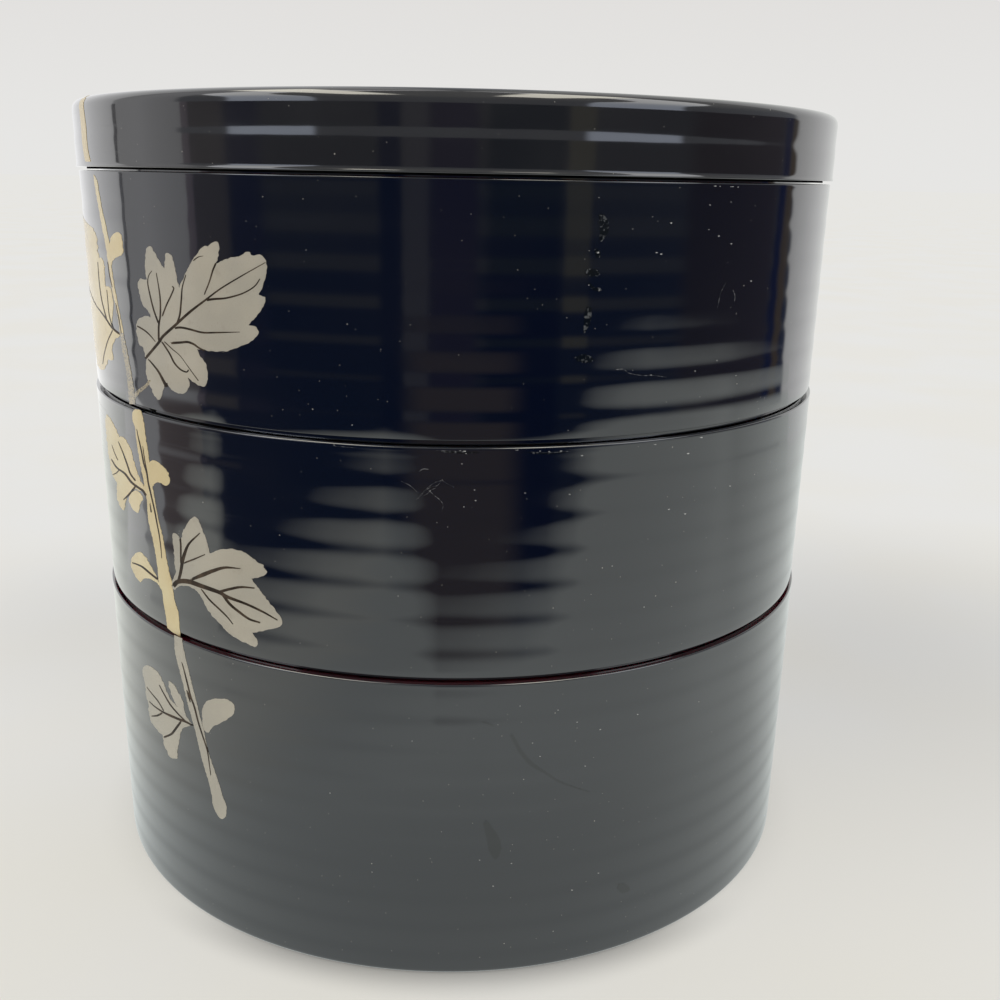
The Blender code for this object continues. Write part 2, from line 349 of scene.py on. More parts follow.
MIDDLE_STEM_LINES = (
    (((137, 429), (138.5, 437), (141.5, 450), (144, 463), (147, 472.5), (148.5, 482.5), (151.5, 495.5),
      (155, 511), (157, 522), (159.5, 535), (161, 546.5), (162, 558)), (0.6, 1.2, 1.4, 1.3, 1.2, 1.0, 0.6)),
    (((143, 446), (145, 460), (147.5, 472)), (0.5, 0.9, 0.5)),
    (((150.5, 503.5), (151.5, 512)), (1.2, 1.2)),
)
BOTTOM_STEM = (
    ((174.5, 635.5), (175, 649), (177, 660), (181.5, 677), (185.5, 693.5), (189, 708), (194, 725),
     (198.5, 743.5), (202.5, 760.5), (207.5, 777), (211.5, 793), (213, 804), (217, 814), (222, 819),
     (226, 815.5), (226.5, 806.5), (223, 796.5), (218.5, 781.5), (214, 768), (208.5, 752.5)),
    ((207.5, 750),),
    ((206.5, 743.5), (204, 730.5), (200.5, 717.5), (196.5, 701), (192, 684), (187.5, 665), (183.5, 648),
     (182, 638.5)),
    ((174.5, 635.5),),
)
BOTTOM_STEM_LINES = (
    (((182, 662), (184.5, 671), (188, 685), (191, 697), (194.5, 706.5), (198.5, 722), (203, 736),
      (207.5, 750.5), (209.5, 763.5), (211, 775)), (0.7, 1.3, 1.5, 1.4, 1.2, 1.0, 0.6)),
    (((187, 690), (189, 696), (190.5, 702)), (0.8, 1.8, 0.8)),
)

# Where the stem goes over the shoulder of the lid: turn in degrees, and the way up from the lid's edge in mm
LID_STEM_OVER = ((-60.1, 12.4), (-60.1, 14.0), (-60.2, 16.0), (-60.5, 19.5), (-61.0, 23.0))
LID_STEM_WIDTH = 0.9

# The spray on top of the lid, in millimetres from its centre
LID_TOP_STEM = (((-72.5, -40.2), (-61.0, -35.5), (-48.0, -28.5), (-36.0, -19.5), (-25.0, -7.0), (-17.0, 8.0)),
                (1.3, 1.7, 1.8, 1.5, 0.8))
LID_TOP_LEAVES = (
    (0.95, -52, (-37, -20), "silver"),
    (0.80, 35, (-28, -11), "gold"),
    (0.62, -5, (-17, 8), "silver"),
    (0.45, 60, (-57, -33), "gold"),
)


# Pale flecks and chips: a pixel, and how wide and high it is
WEAR_LIFT = 0.00002
FLECK_SIZE = 0.62
FLECKS = {
    "top": ((598.8, 197.5, 1.5, 1.2), (597.5, 252.5, 3.0, 2.5), (588.8, 285, 1.5, 1.2),
        (598.8, 290, 2.0, 1.2), (656.5, 252.6, 2.4, 1.3), (661, 254, 3.0, 1.5), (671, 223, 2.0, 2.0),
        (710, 205, 1.3, 2.0), (731, 202, 1.0, 1.0), (718.8, 236, 2.0, 2.0), (731.3, 243.8, 1.8, 1.6),
        (708.8, 229.5, 1.6, 1.2), (751, 281, 1.2, 1.8), (715, 186, 3.5, 1.2), (720, 186.3, 1.5, 1.0),
        (732, 186.6, 5.0, 0.8), (738, 187, 1.5, 1.2), (632.5, 229, 1.2, 1.0), (652.5, 216.8, 1.2, 1.0),
        (651, 375, 2.0, 1.2), (695, 371, 1.4, 1.2), (735.8, 375.5, 1.4, 1.0), (716.8, 360.5, 1.0, 1.2),
        (288, 154, 1.2, 1.0), (306, 250, 1.0, 1.2), (471, 214, 1.2, 1.0), (352, 425, 1.6, 1.6),
        (246, 221, 1.0, 1.0)),
    "middle": ((334, 445, 2.0, 1.0), (460, 450.6, 2.6, 1.0), (464.5, 451.2, 3.4, 1.6),
        (466, 453.5, 1.2, 1.4), (517, 450, 4.0, 1.0), (540, 451, 2.0, 1.2), (549, 451.4, 2.6, 1.0),
        (561, 451, 3.0, 1.0), (461.8, 463.8, 1.0, 2.0), (474.5, 490, 1.4, 1.2), (475.5, 500.5, 1.4, 1.6),
        (463.8, 506.8, 1.2, 1.4), (525, 493, 1.8, 1.0), (581.8, 455.5, 2.4, 2.0), (688, 453.5, 3.0, 2.0),
        (701, 437.5, 3.6, 1.6), (668.8, 509.3, 2.4, 1.8), (685, 513.8, 2.2, 1.6), (730, 486, 2.2, 1.4),
        (569.5, 494.3, 2.2, 1.6), (655, 444.5, 3.4, 1.2), (398, 596, 1.4, 1.2), (612, 566, 1.6, 1.2),
        (644, 607, 1.4, 1.2)),
    "bottom": ((600, 729.5, 2.0, 1.8), (532.5, 743, 1.6, 1.4), (540, 756.3, 1.4, 1.2), (585, 766, 1.8, 1.4),
        (637.5, 714.3, 1.8, 1.4), (558, 710, 1.6, 1.2), (511.3, 863.3, 1.6, 1.4), (598.3, 873, 1.8, 1.6),
        (493, 886, 1.4, 1.8), (571.8, 890, 1.6, 1.4), (479.5, 860, 1.6, 1.2), (577, 722, 1.6, 1.0),
        (520, 706, 1.4, 1.0), (330, 793, 1.4, 1.2), (412, 741, 1.2, 1.2), (372, 872, 1.4, 1.2)),
}

# Fine pale scratches and rubbed outlines
SCRATCHES = {
    "top": (
        (((616, 369.6), (623.8, 369.3), (628.8, 373), (642.5, 375.5), (653.8, 375.5), (666.3, 377.3)),
         (0.6, 0.4, 0.6)),
        (((726, 282.5), (721, 292.5), (717.5, 307.5)), (0.35, 0.4, 0.2)),
        (((733, 290), (735, 296), (734.5, 301)), (0.35, 0.5, 0.3)),
    ),
    "middle": (
        (((401.3, 481.3), (410, 485.5), (417.5, 492.5)), (0.3, 0.45, 0.35)),
        (((416.3, 499.5), (422.5, 492.5), (428.8, 487), (435, 482.5), (442.5, 480.5)),
         (0.5, 0.6, 0.7, 0.4)),
        (((418, 498.5), (425, 491.3), (430, 487.5), (437.5, 485.5), (440, 482.5)), (0.35, 0.5, 0.35)),
        (((422, 496), (427, 494), (431, 490), (436, 488)), (0.3, 0.45, 0.3)),
        (((442.5, 480.5), (447.5, 483.8), (453.8, 487)), (0.5, 0.4, 0.35)),
        (((428.8, 490), (433.8, 495), (440, 500), (443, 505), (442, 511.3)), (0.4, 0.5, 0.3)),
        (((418.8, 471.8), (423, 469), (428.3, 469.3)), (0.4, 0.7, 0.5)),
        (((334, 446), (345, 447), (356, 448)), (0.3, 0.5, 0.25)),
        (((436, 450.4), (450, 451), (464, 452)), (0.25, 0.5, 0.5)),
        (((530, 452), (545, 452.6), (560, 452), (572, 451)), (0.35, 0.7, 0.35)),
    ),
}

# Rubbed places, and the long mark and the spots where the gloss is dulled
RUBBED = {
    "top": (
        (((600, 214), (603.5, 221), (604.5, 229), (601, 240.5)), (4.0, 9.0, 9.0, 3.0)),
        (((596, 249), (597.5, 252.5), (598, 257)), (3.5, 6.0, 4.0)),
        (((585, 272), (591, 272.5), (598, 273.5)), (4.0, 8.0, 6.0)),
        (((589, 283), (593, 288), (600, 290)), (2.0, 3.0, 4.0)),
        (((589, 307), (588, 314), (587, 322), (584.3, 332.5)), (5.0, 8.0, 6.0, 1.5)),
        (((576, 359), (583, 358.5), (592, 359.5)), (5.0, 9.0, 5.0)),
    ),
    "middle": (
        (((440, 451.6), (462, 452.4), (480, 452.6)), (0.8, 2.2, 0.8)),
        (((525, 452.8), (545, 453.2), (566, 452.2)), (0.8, 2.6, 0.8)),
    ),
}
DULLED = {
    "bottom": (
        (((511.3, 735), (515, 741.3), (521.3, 752.5), (531.3, 763.8), (545, 772.5), (558.8, 781.3),
          (575, 787.5), (590, 792)), (3.4, 4.2, 4.2, 2.6, 2.2, 1.2, 0.6)),
        (((482.5, 722), (488, 723.5), (493.8, 726.3)), (1.2, 1.8, 1.0)),
        (((485, 822), (489, 830), (493.5, 841), (495, 850), (495.5, 858)), (5.0, 9.0, 13.0, 13.5, 5.0)),
        (((618, 886), (623, 888), (628, 889)), (6.0, 11.0, 6.0)),
    ),
}


# Sight lines and walls


def aim(across, ahead, up):
    """Turns a direction in the camera's own terms into the scene's."""
    c, s = math.cos(CAMERA_ROLL), math.sin(CAMERA_ROLL)
    across, up = c * across - s * up, s * across + c * up
    c, s = math.cos(CAMERA_PITCH), math.sin(CAMERA_PITCH)
    ahead, up = c * ahead + s * up, c * up - s * ahead
    c, s = math.cos(CAMERA_TURN), math.sin(CAMERA_TURN)
    return Vector((c * across + s * ahead, c * ahead - s * across, up))


def leaning_radius(height, up):
    """Outer radius of a tier without its ribs."""
    return TIER_RADIUS - WALL_LEAN * (height - up)


def rib_swell(up, ribs):
    """How far the ribbed surface stands out from the plain wall."""
    first_crest, pitch, depth = ribs
    phase = 2 * math.pi * (up - first_crest) / pitch
    return depth / 2 * math.cos(phase - RIB_SKEW * math.cos(phase))


def wall_radius(height, up, ribs):
    """Outer radius of a tier: it leans, has ribs, flares at the rim and tucks in at the lower edge."""
    reach, step = RIM_FLARE
    below = min(max((height - up) / reach, 0.0), 1.0)
    radius = leaning_radius(height, up) + rib_swell(up, ribs) * below - step * below
    reach, step = FOOT_TUCK
    return radius - step * max(1.0 - up / reach, 0.0) ** 2


def tier_skin(edge, height, ribs):
    """Radius of a tier's outer wall, by height above the ground."""
    return lambda z: wall_radius(height, z - edge, ribs)


def tier_skins():
    """The outer walls of the three tiers."""
    return {"top": tier_skin(TOP_EDGE, UPPER_HEIGHT, TOP_RIBS),
            "middle": tier_skin(MIDDLE_EDGE, UPPER_HEIGHT, MIDDLE_RIBS),
            "bottom": tier_skin(0.0, BOTTOM_HEIGHT, BOTTOM_RIBS)}


def unrolled(points):
    """Places given as the turn from the front in degrees and a height in millimetres."""
    return [Vector((math.radians(turn) * TIER_RADIUS, up / 1000)) for turn, up in points]


def wall_place(radius):
    """The point of a wall at an unrolled place, lifted off it."""
    def place(across, up, lift):
        turn = across / TIER_RADIUS
        reach = radius(up) + lift
        return Vector((reach * math.sin(turn), -reach * math.cos(turn), up))
    return place


def crown_height(reach):
    """Height of the lid's top, by distance from the axis."""
    rise = LID_CROWN - POWDER_ROOM
    return LID_PEAK - LID_CROWN + rise * (1 - (reach / (LID_RADIUS - LID_ROUND)) ** 2)


def lid_place(across, along, lift):
    """The point of the lid a way along its outline: up the side, over the shoulder and in on top."""
    turn = across / TIER_RADIUS
    over = along - LID_SIDE
    if over <= 0:
        reach = LID_RADIUS + rib_swell(along, LID_RIBS) + lift
        z = LID_EDGE + along
    elif over <= LID_ROUND * math.pi / 2:
        angle = over / LID_ROUND
        reach = LID_RADIUS - LID_ROUND + (LID_ROUND + lift) * math.cos(angle)
        z = LID_EDGE + LID_SIDE + (LID_ROUND + lift) * math.sin(angle)
    else:
        reach = LID_RADIUS - LID_ROUND - (over - LID_ROUND * math.pi / 2)
        z = crown_height(reach) + lift
    return Vector((reach * math.sin(turn), -reach * math.cos(turn), z))


def top_place(x, y, lift):
    """The point of the lid's top over a place in plan."""
    return Vector((x, y, crown_height(math.hypot(x, y)) + lift))


def cast(pixel, radius):
    """Where the sight line through a pixel meets a wall, unrolled. Past the side, it is the wall's edge."""
    half = PICTURE / 2
    ray = aim((pixel[0] - half) / FOCAL, 1.0, (half - pixel[1]) / FOCAL)
    start = CAMERA_PLACE
    reach = TIER_RADIUS
    for _ in range(6):
        a = ray.x ** 2 + ray.y ** 2
        b = start.x * ray.x + start.y * ray.y
        c = start.x ** 2 + start.y ** 2 - reach ** 2
        way = (-b - math.sqrt(max(b * b - a * c, 0.0))) / a
        spot = start + way * ray
        reach = radius(spot.z)
    return Vector((TIER_RADIUS * math.atan2(spot.x, -spot.y), spot.z))


# Strokes


def flowing(points, step):
    """A smooth line through the points, cut at about the given step."""
    line = [Vector(p) for p in points]
    if len(line) < 3:
        return line
    line = [2 * line[0] - line[1]] + line + [2 * line[-1] - line[-2]]
    out = []
    for a, b, c, d in zip(line, line[1:], line[2:], line[3:]):
        parts = max(1, math.ceil((c - b).length / step))
        for part in range(parts):
            t = part / parts
            out.append(0.5 * (2 * b + (c - a) * t + (2 * a - 5 * b + 4 * c - d) * t ** 2
                              + (3 * b - a - 3 * c + d) * t ** 3))
    return out + [line[-2]]


def outline_of(lobes, step):
    """One outline. The first lobe has its own start, and each other starts where the last one ended."""
    out = []
    start = ()
    for lobe in lobes:
        out += flowing(start + lobe, step)[:-1]
        start = lobe[-1:]
    return out


def ragged(outline, depth):
    """The outline with slightly uneven edges."""
    out = []
    for p in outline:
        across = noise.noise(Vector((p.x / EDGE_REACH, p.y / EDGE_REACH, 0.0)))
        up = noise.noise(Vector((p.x / EDGE_REACH, p.y / EDGE_REACH, 9.5)))
        out.append(p + depth * Vector((across, up)))
    return out


def ribbon(points, widths, step):
    """The outline of a line whose width changes from its start to its end, with rounded ends."""
    line = flowing(points, step)
    left, right = [], []
    last = len(line) - 1
    for index, point in enumerate(line):
        ahead = (line[min(index + 1, last)] - line[max(index - 1, 0)]).normalized()
        side = Vector((-ahead.y, ahead.x))
        spot = index / last * (len(widths) - 1)
        low = min(int(spot), len(widths) - 2)
        half = (widths[low] + (widths[low + 1] - widths[low]) * (spot - low)) / 2
        left.append(point + side * half)
        right.append(point - side * half)
        if index in (0, last):
            cap = point + ahead * half * (0.8 if index else -0.8)
            (left if index else right).append(cap)
    return left + right[::-1]


def inside(outline, x, y):
    """Whether a place lies inside a closed outline."""
    hit = False
    for a, b in zip(outline, outline[1:] + outline[:1]):
        if (a.y > y) != (b.y > y) and x < a.x + (b.x - a.x) * (y - a.y) / (b.y - a.y):
            hit = not hit
    return hit


# Solids


def finish_mesh(name, vertices, faces, materials, slot):
    """An object on the one body, its normals outward, smooth but for its sharp turns."""
    mesh = bpy.data.meshes.new(name)
    mesh.from_pydata(vertices, [], faces)
    for material in materials:
        mesh.materials.append(material)
    shape = bmesh.new()
    shape.from_mesh(mesh)
    bmesh.ops.recalc_face_normals(shape, faces=shape.faces)
    shape.to_mesh(mesh)
    shape.free()
    mesh.shade_smooth()
    mesh.set_sharp_from_angle(angle=SHARP_ANGLE)
    piece = bpy.data.objects.new(name, mesh)
    bpy.context.scene.collection.objects.link(piece)
    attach(piece, "root")
    return piece


def layer(outline, place, lift):
    """Vertices and faces of a thin closed layer that follows the surface under its outline."""
    low_x, high_x = min(p.x for p in outline), max(p.x for p in outline)
    low_y, high_y = min(p.y for p in outline), max(p.y for p in outline)
    flat = list(outline)
    for row in range(1, int((high_y - low_y) / POWDER_GRID) + 1):
        y = low_y + row * POWDER_GRID
        for column in range(int((high_x - low_x) / POWDER_GRID) + 1):
            x = low_x + (column + row % 2 / 2) * POWDER_GRID
            if inside(outline, x, y):
                flat.append(Vector((x, y)))
    spots, _, triangles, _, _, _ = delaunay_2d_cdt(flat, [], [list(range(len(outline)))], 1, 1e-7)
    count = len(spots)
    vertices = [place(p.x, p.y, lift) for p in spots] + [place(p.x, p.y, -POWDER_ROOT) for p in spots]
    faces = []
    rim = {}
    for triangle in triangles:
        faces.append(tuple(triangle))
        faces.append(tuple(count + i for i in reversed(triangle)))
        for a, b in zip(triangle, triangle[1:] + triangle[:1]):
            rim[(a, b)] = True
    for a, b in rim:
        if (b, a) not in rim:
            faces.append((b, a, count + a, count + b))
    return vertices, faces


def powder(name, outlines, place, lift, material, slot):
    """Thin layers on a surface, joined into one object."""
    vertices, faces = [], []
    for outline in outlines:
        spots, sides = layer(outline, place, lift)
        faces += [tuple(len(vertices) + i for i in side) for side in sides]
        vertices += spots
    return finish_mesh(name, vertices, faces, [material], slot)


def lathe(name, profile, material, slot):
    """An outline turned about Z: from axis to axis, or closed on itself away from the axis."""
    vertices = []
    rings = []
    for reach, z in profile:
        if reach < 1e-6:
            rings.append([len(vertices)] * SEGMENTS)
            vertices.append((0.0, 0.0, z))
            continue
        rings.append(list(range(len(vertices), len(vertices) + SEGMENTS)))
        for step in range(SEGMENTS):
            turn = 2 * math.pi * step / SEGMENTS
            vertices.append((reach * math.cos(turn), reach * math.sin(turn), z))
    faces = []
    if profile[0][0] > 1e-6:
        rings.append(rings[0])
    for upper, lower in zip(rings, rings[1:]):
        for step in range(SEGMENTS):
            ahead = (step + 1) % SEGMENTS
            face = [upper[step], upper[ahead], lower[ahead], lower[step]]
            faces.append(tuple(dict.fromkeys(face)))
    return finish_mesh(name, vertices, faces, [material], slot)


def arc(centre_r, centre_z, radius, start, end, steps):
    """Points of an arc in the outline's plane, between two angles in degrees from +X."""
    points = []
    for step in range(steps + 1):
        angle = math.radians(start + (end - start) * step / steps)
        points.append((centre_r + radius * math.cos(angle), centre_z + radius * math.sin(angle)))
    return points


def descending(highest, lowest):
    """Heights from one down to another at fine steps."""
    count = math.ceil((highest - lowest) / WALL_STEP)
    return [highest + (lowest - highest) * step / count for step in range(count + 1)]


def tier_inside(edge, height, floor):
    """The hollow of a tier, from the middle of its floor to the inner edge of its rim."""
    inner = leaning_radius(height, floor + CORNER_ROUND - edge) - WALL
    points = [(0.0, floor), (inner / 2, floor)]
    points += arc(inner - CORNER_ROUND, floor + CORNER_ROUND, CORNER_ROUND, -90, 0, 8)
    return points + arc(MOUTH_RADIUS + MOUTH_ROUND, edge + height - MOUTH_ROUND, MOUTH_ROUND, 180, 90, 4)


def tier_shell(edge, height, floor, ribs, foot_round, underside):
    """The outline of a tier with its rounded edges and its ribbed wall."""
    rim = edge + height
    foot = wall_radius(height, foot_round, ribs)
    outline = tier_inside(edge, height, floor)
    outline += arc(TIER_RADIUS - LIP_ROUND, rim - LIP_ROUND, LIP_ROUND, 90, 0, 6)
    for up in descending(height - LIP_ROUND, foot_round)[1:]:
        outline.append((wall_radius(height, up, ribs), edge + up))
    outline += arc(foot - foot_round, edge + foot_round, foot_round, 0, -90, 6)[1:]
    return outline + underside


def rim_top(edge, height):
    """The flat top of a tier's rim."""
    return [(MOUTH_RADIUS + MOUTH_ROUND, edge + height), (TIER_RADIUS - LIP_ROUND, edge + height)]


def ring_under(edge, seam):
    """The shadow line, the seat and the outer face of the ring that drops into the tier below."""
    seat = edge - seam + REST_GAP
    return [(SEAM_RADIUS, edge), (SEAM_RADIUS, seat), (RING_RADIUS, seat), (RING_RADIUS, seat - RING_DEPTH)]


def lid_inside():
    """The hollow of the lid, from the inner foot of its flange to the middle of its ceiling."""
    seat = LID_EDGE - LID_SEAM + REST_GAP
    flange = RING_RADIUS - LID_FLANGE
    inner = LID_RADIUS - WALL
    ceiling = LID_PEAK - LID_CROWN - LID_TOP
    points = [(flange, seat - RING_DEPTH), (flange, seat + LID_LEDGE)]
    points += [(inner, seat + LID_LEDGE + inner - flange)]
    points += arc(inner - LID_CORNER, ceiling - LID_CORNER, LID_CORNER, 0, 90, 8)
    return points + [(inner / 2, ceiling), (0.0, ceiling)]


def lid_shell():
    """The outline of the lid: its crown and shoulder, its ribbed side and its flared edge."""
    points = []
    for step in range(16):
        reach = (LID_RADIUS - LID_ROUND) * step / 16
        points.append((reach, crown_height(reach)))
    points += arc(LID_RADIUS - LID_ROUND, LID_EDGE + LID_SIDE, LID_ROUND, 90, 0, 14)
    for up in descending(LID_SIDE, FLARE_HEIGHT)[1:]:
        points.append((LID_RADIUS + rib_swell(up, LID_RIBS), LID_EDGE + up))
    base, step = rib_swell(FLARE_HEIGHT, LID_RIBS), FLARE_STEP
    for part in (0.2, 0.4, 0.6, 0.8, 1.0):
        up = FLARE_HEIGHT + (EDGE_ROUND - FLARE_HEIGHT) * part
        points.append((LID_RADIUS + base + (step - base) * part ** 2, LID_EDGE + up))
    points += arc(LID_RADIUS + step - EDGE_ROUND, LID_EDGE + EDGE_ROUND, EDGE_ROUND, 0, -90, 5)[1:]
    return points + ring_under(LID_EDGE, LID_SEAM) + lid_inside()


def lining(surface):
    """A thin closed skin on an inner surface: just proud of it, and rooted in the wall behind."""
    proud, rooted = [], []
    last = len(surface) - 1
    for index, (reach, z) in enumerate(surface):
        before, after = surface[max(index - 1, 0)], surface[min(index + 1, last)]
        run, rise = after[0] - before[0], after[1] - before[1]
        size = math.hypot(run, rise)
        out = (-rise / size, run / size)
        proud.append((max(reach + out[0] * LINING, 0.0), z + out[1] * LINING))
        rooted.append((max(reach - out[0] * LINING_ROOT, 0.0), z - out[1] * LINING_ROOT))
    return proud + rooted[::-1]


# Materials

# Tones of the finishes: a lacquer's deep and thin parts and its dust, a powder's body, its warmer part and
# its bare part, the lacquer under the worn gold, and the dark and light of veins, of the seam's painted
# shadow and of wear
DUST = (0.40, 0.38, 0.34)
RED_DUST = (0.30, 0.16, 0.14)
BLACK = ((0.0012, 0.0026, 0.0066), (0.0030, 0.0040, 0.0074), DUST)
# The lid's copy of the black lacquer: the same, but paler all over
LID_PALE_BLACK = ((0.0085, 0.0085, 0.0095), (0.0160, 0.0155, 0.0160), DUST)
DULL = ((0.0025, 0.0035, 0.0045), (0.0045, 0.0050, 0.0055), DUST)
RED = ((0.15, 0.010, 0.012), (0.20, 0.016, 0.014), RED_DUST)
# The bottom tier's rim: the red lacquer darkened as painted shade of the seam over it
SHADED_RIM_RED = ((0.034, 0.002, 0.006), (0.055, 0.004, 0.008), RED_DUST)
SILVER = ((0.40, 0.37, 0.305), (0.45, 0.41, 0.33), (0.24, 0.205, 0.155))
GOLD = ((0.65, 0.52, 0.275), (0.69, 0.58, 0.33), (0.44, 0.32, 0.155))
GOLD_GROUND = (0.012, 0.013, 0.016)
VEIN_TONES = ((0.022, 0.015, 0.010), (0.080, 0.055, 0.036))
# Painted shadow: the dull black sheet in the line under the lid
SEAM_SHADOW_TONES = ((0.0015, 0.0018, 0.0030), (0.010, 0.009, 0.008))
PALE = ((0.28, 0.28, 0.275), (0.50, 0.50, 0.49))
FAINT = ((0.020, 0.022, 0.026), (0.16, 0.16, 0.165))
RUBBED_TONES = ((0.0020, 0.0035, 0.0050), (0.075, 0.080, 0.085))


class Nodes:
    """Short calls that add shader nodes to one tree."""

    def __init__(self, tree):
        self.tree = tree
        self.place = None

    def add(self, kind, **settings):
        node = self.tree.nodes.new(kind)
        for key, value in settings.items():
            setattr(node, key, value)
        return node

    def feed(self, socket, value):
        if isinstance(value, bpy.types.NodeSocket):
            self.tree.links.new(value, socket)
        elif isinstance(value, tuple) and len(value) == 3 and socket.type == "RGBA":
            socket.default_value = (*value, 1.0)
        else:
            socket.default_value = value

    def math(self, operation, a, b=0.0):
        node = self.add("ShaderNodeMath", operation=operation)
        self.feed(node.inputs[0], a)
        self.feed(node.inputs[1], b)
        return node.outputs[0]

    def length(self, x, y):
        return self.math("SQRT", self.math("ADD", self.math("MULTIPLY", x, x), self.math("MULTIPLY", y, y)))

    def ramp(self, value, low, high, start=0.0, end=1.0):
        node = self.add("ShaderNodeMapRange", interpolation_type="SMOOTHSTEP")
        for socket, number in zip(node.inputs, (value, low, high, start, end)):
            self.feed(socket, number)
        return node.outputs[0]

    def band(self, value, low, high, soft):
        rise = self.ramp(value, low - soft, low + soft)
        fall = self.ramp(value, high - soft, high + soft, 1.0, 0.0)
        return self.math("MULTIPLY", rise, fall)

    def mix(self, factor, a, b):
        node = self.add("ShaderNodeMix", data_type="RGBA")
        self.feed(node.inputs[0], factor)
        self.feed(node.inputs[6], a)
        self.feed(node.inputs[7], b)
        return node.outputs[2]

    def stretched(self, stretch):
        if self.place is None:
            self.place = self.add("ShaderNodeTexCoord").outputs["Object"]
        node = self.add("ShaderNodeMapping")
        self.feed(node.inputs["Vector"], self.place)
        node.inputs["Scale"].default_value = stretch
        return node.outputs[0]

    def noise(self, scale, detail=2.0, stretch=(1.0, 1.0, 1.0)):
        node = self.add("ShaderNodeTexNoise")
        self.feed(node.inputs["Vector"], self.stretched(stretch))
        node.inputs["Scale"].default_value = scale
        node.inputs["Detail"].default_value = detail
        return node.outputs[0]

    def specks(self, scale, size, share):
        """Small round specks: one in each cell of the pattern whose own number is under the share."""
        node = self.add("ShaderNodeTexVoronoi")
        self.feed(node.inputs["Vector"], self.stretched((1.0, 1.0, 1.0)))
        node.inputs["Scale"].default_value = scale
        near = self.ramp(node.outputs["Distance"], size * scale * 0.5, size * scale, 1.0, 0.0)
        split = self.add("ShaderNodeSeparateColor")
        self.feed(split.inputs[0], node.outputs["Color"])
        chosen = self.math("LESS_THAN", split.outputs[0], share)
        return self.math("MULTIPLY", near, chosen)


def principled(name, roughness, metallic=0.0, specular=0.5, ior=1.5):
    """A Principled material with its constants set, and the node calls of its tree."""
    material = bpy.data.materials.new(name)
    material.use_nodes = True
    shader = material.node_tree.nodes["Principled BSDF"]
    shader.inputs["Roughness"].default_value = roughness
    shader.inputs["Metallic"].default_value = metallic
    shader.inputs["Specular IOR Level"].default_value = specular
    shader.inputs["IOR"].default_value = ior
    return material, shader, Nodes(material.node_tree)


def bumpy(nodes, shader, height, distance, coat=False):
    """Relief on the shader's surface from a height between 0 and 1."""
    node = nodes.add("ShaderNodeBump")
    node.inputs["Strength"].default_value = 1.0
    node.inputs["Distance"].default_value = distance
    nodes.feed(node.inputs["Height"], height)
    nodes.feed(shader.inputs["Normal"], node.outputs[0])
    if coat:
        nodes.feed(shader.inputs["Coat Normal"], node.outputs[0])


def lacquer(name, deep, thin, dust, coat=1.0):
    """Polished lacquer: a clear coat over a slightly softer layer, with dust, hairlines and dull patches."""
    material, shader, nodes = principled(name, 0.08)
    shader.inputs["Coat Weight"].default_value = coat
    shader.inputs["Coat Roughness"].default_value = 0.025
    shader.inputs["Coat IOR"].default_value = 1.6
    cloud = nodes.noise(22.0, 3.0)
    tone = nodes.mix(nodes.ramp(cloud, 0.35, 0.7), deep, thin)
    motes = nodes.math("MAXIMUM", nodes.specks(210.0, 0.00017, 0.75), nodes.specks(520.0, 0.00010, 0.6))
    nodes.feed(shader.inputs["Base Color"], nodes.mix(nodes.math("MULTIPLY", motes, 0.75), tone, dust))
    hair = nodes.noise(14.0, 2.0, (1.0, 1.0, 90.0))
    worn = nodes.math("MULTIPLY", nodes.ramp(hair, 0.55, 0.75), nodes.ramp(cloud, 0.45, 0.7))
    soft = nodes.math("MULTIPLY", worn, 0.16)
    rough = nodes.math("ADD", nodes.ramp(nodes.noise(60.0, 3.0), 0.3, 0.8, 0.07, 0.13), soft)
    nodes.feed(shader.inputs["Roughness"], nodes.math("MAXIMUM", rough, motes))
    pool = nodes.math("ADD", nodes.noise(45.0, 1.0), nodes.math("MULTIPLY", nodes.noise(170.0, 1.0), 0.2))
    bumpy(nodes, shader, pool, 0.00006, coat=True)
    return material


def sprinkle(name, tones, metallic, roughness):
    """Fine metal powder set in lacquer: a soft metal sheen with grain and uneven cover."""
    material, shader, nodes = principled(name, roughness, metallic, specular=0.35)
    body, warm, bare = tones
    tone = nodes.mix(nodes.ramp(nodes.noise(75.0, 3.0), 0.35, 0.7), body, warm)
    grain = nodes.noise(3800.0, 2.0)
    tone = nodes.mix(nodes.ramp(grain, 0.62, 0.8, 0.0, 0.35), tone, bare)
    thin = nodes.math("MULTIPLY", nodes.ramp(nodes.noise(260.0, 4.0), 0.6, 0.78), 0.3)
    nodes.feed(shader.inputs["Base Color"], nodes.mix(thin, tone, bare))
    nodes.feed(shader.inputs["Roughness"], nodes.ramp(grain, 0.3, 0.7, roughness - 0.08, roughness + 0.1))
    bumpy(nodes, shader, grain, 0.000012)
    shader.inputs["Coat Weight"].default_value = 0.7
    shader.inputs["Coat Roughness"].default_value = 0.12
    shader.inputs["Coat IOR"].default_value = 1.5
    return material


def worn_powder(powder_tone, bare):
    """Gold powder rubbed thin: the polished lacquer shows between the grains."""
    material, shader, nodes = principled("worn_gold", 0.3, specular=0.4)
    shader.inputs["Coat Weight"].default_value = 1.0
    shader.inputs["Coat Roughness"].default_value = 0.03
    shader.inputs["Coat IOR"].default_value = 1.6
    cover = nodes.ramp(nodes.noise(2600.0, 3.0), 0.34, 0.62, 0.12, 0.58)
    nodes.feed(shader.inputs["Base Color"], nodes.mix(cover, bare, powder_tone))
    nodes.feed(shader.inputs["Roughness"], nodes.ramp(cover, 0.0, 1.0, 0.2, 0.6))
    return material


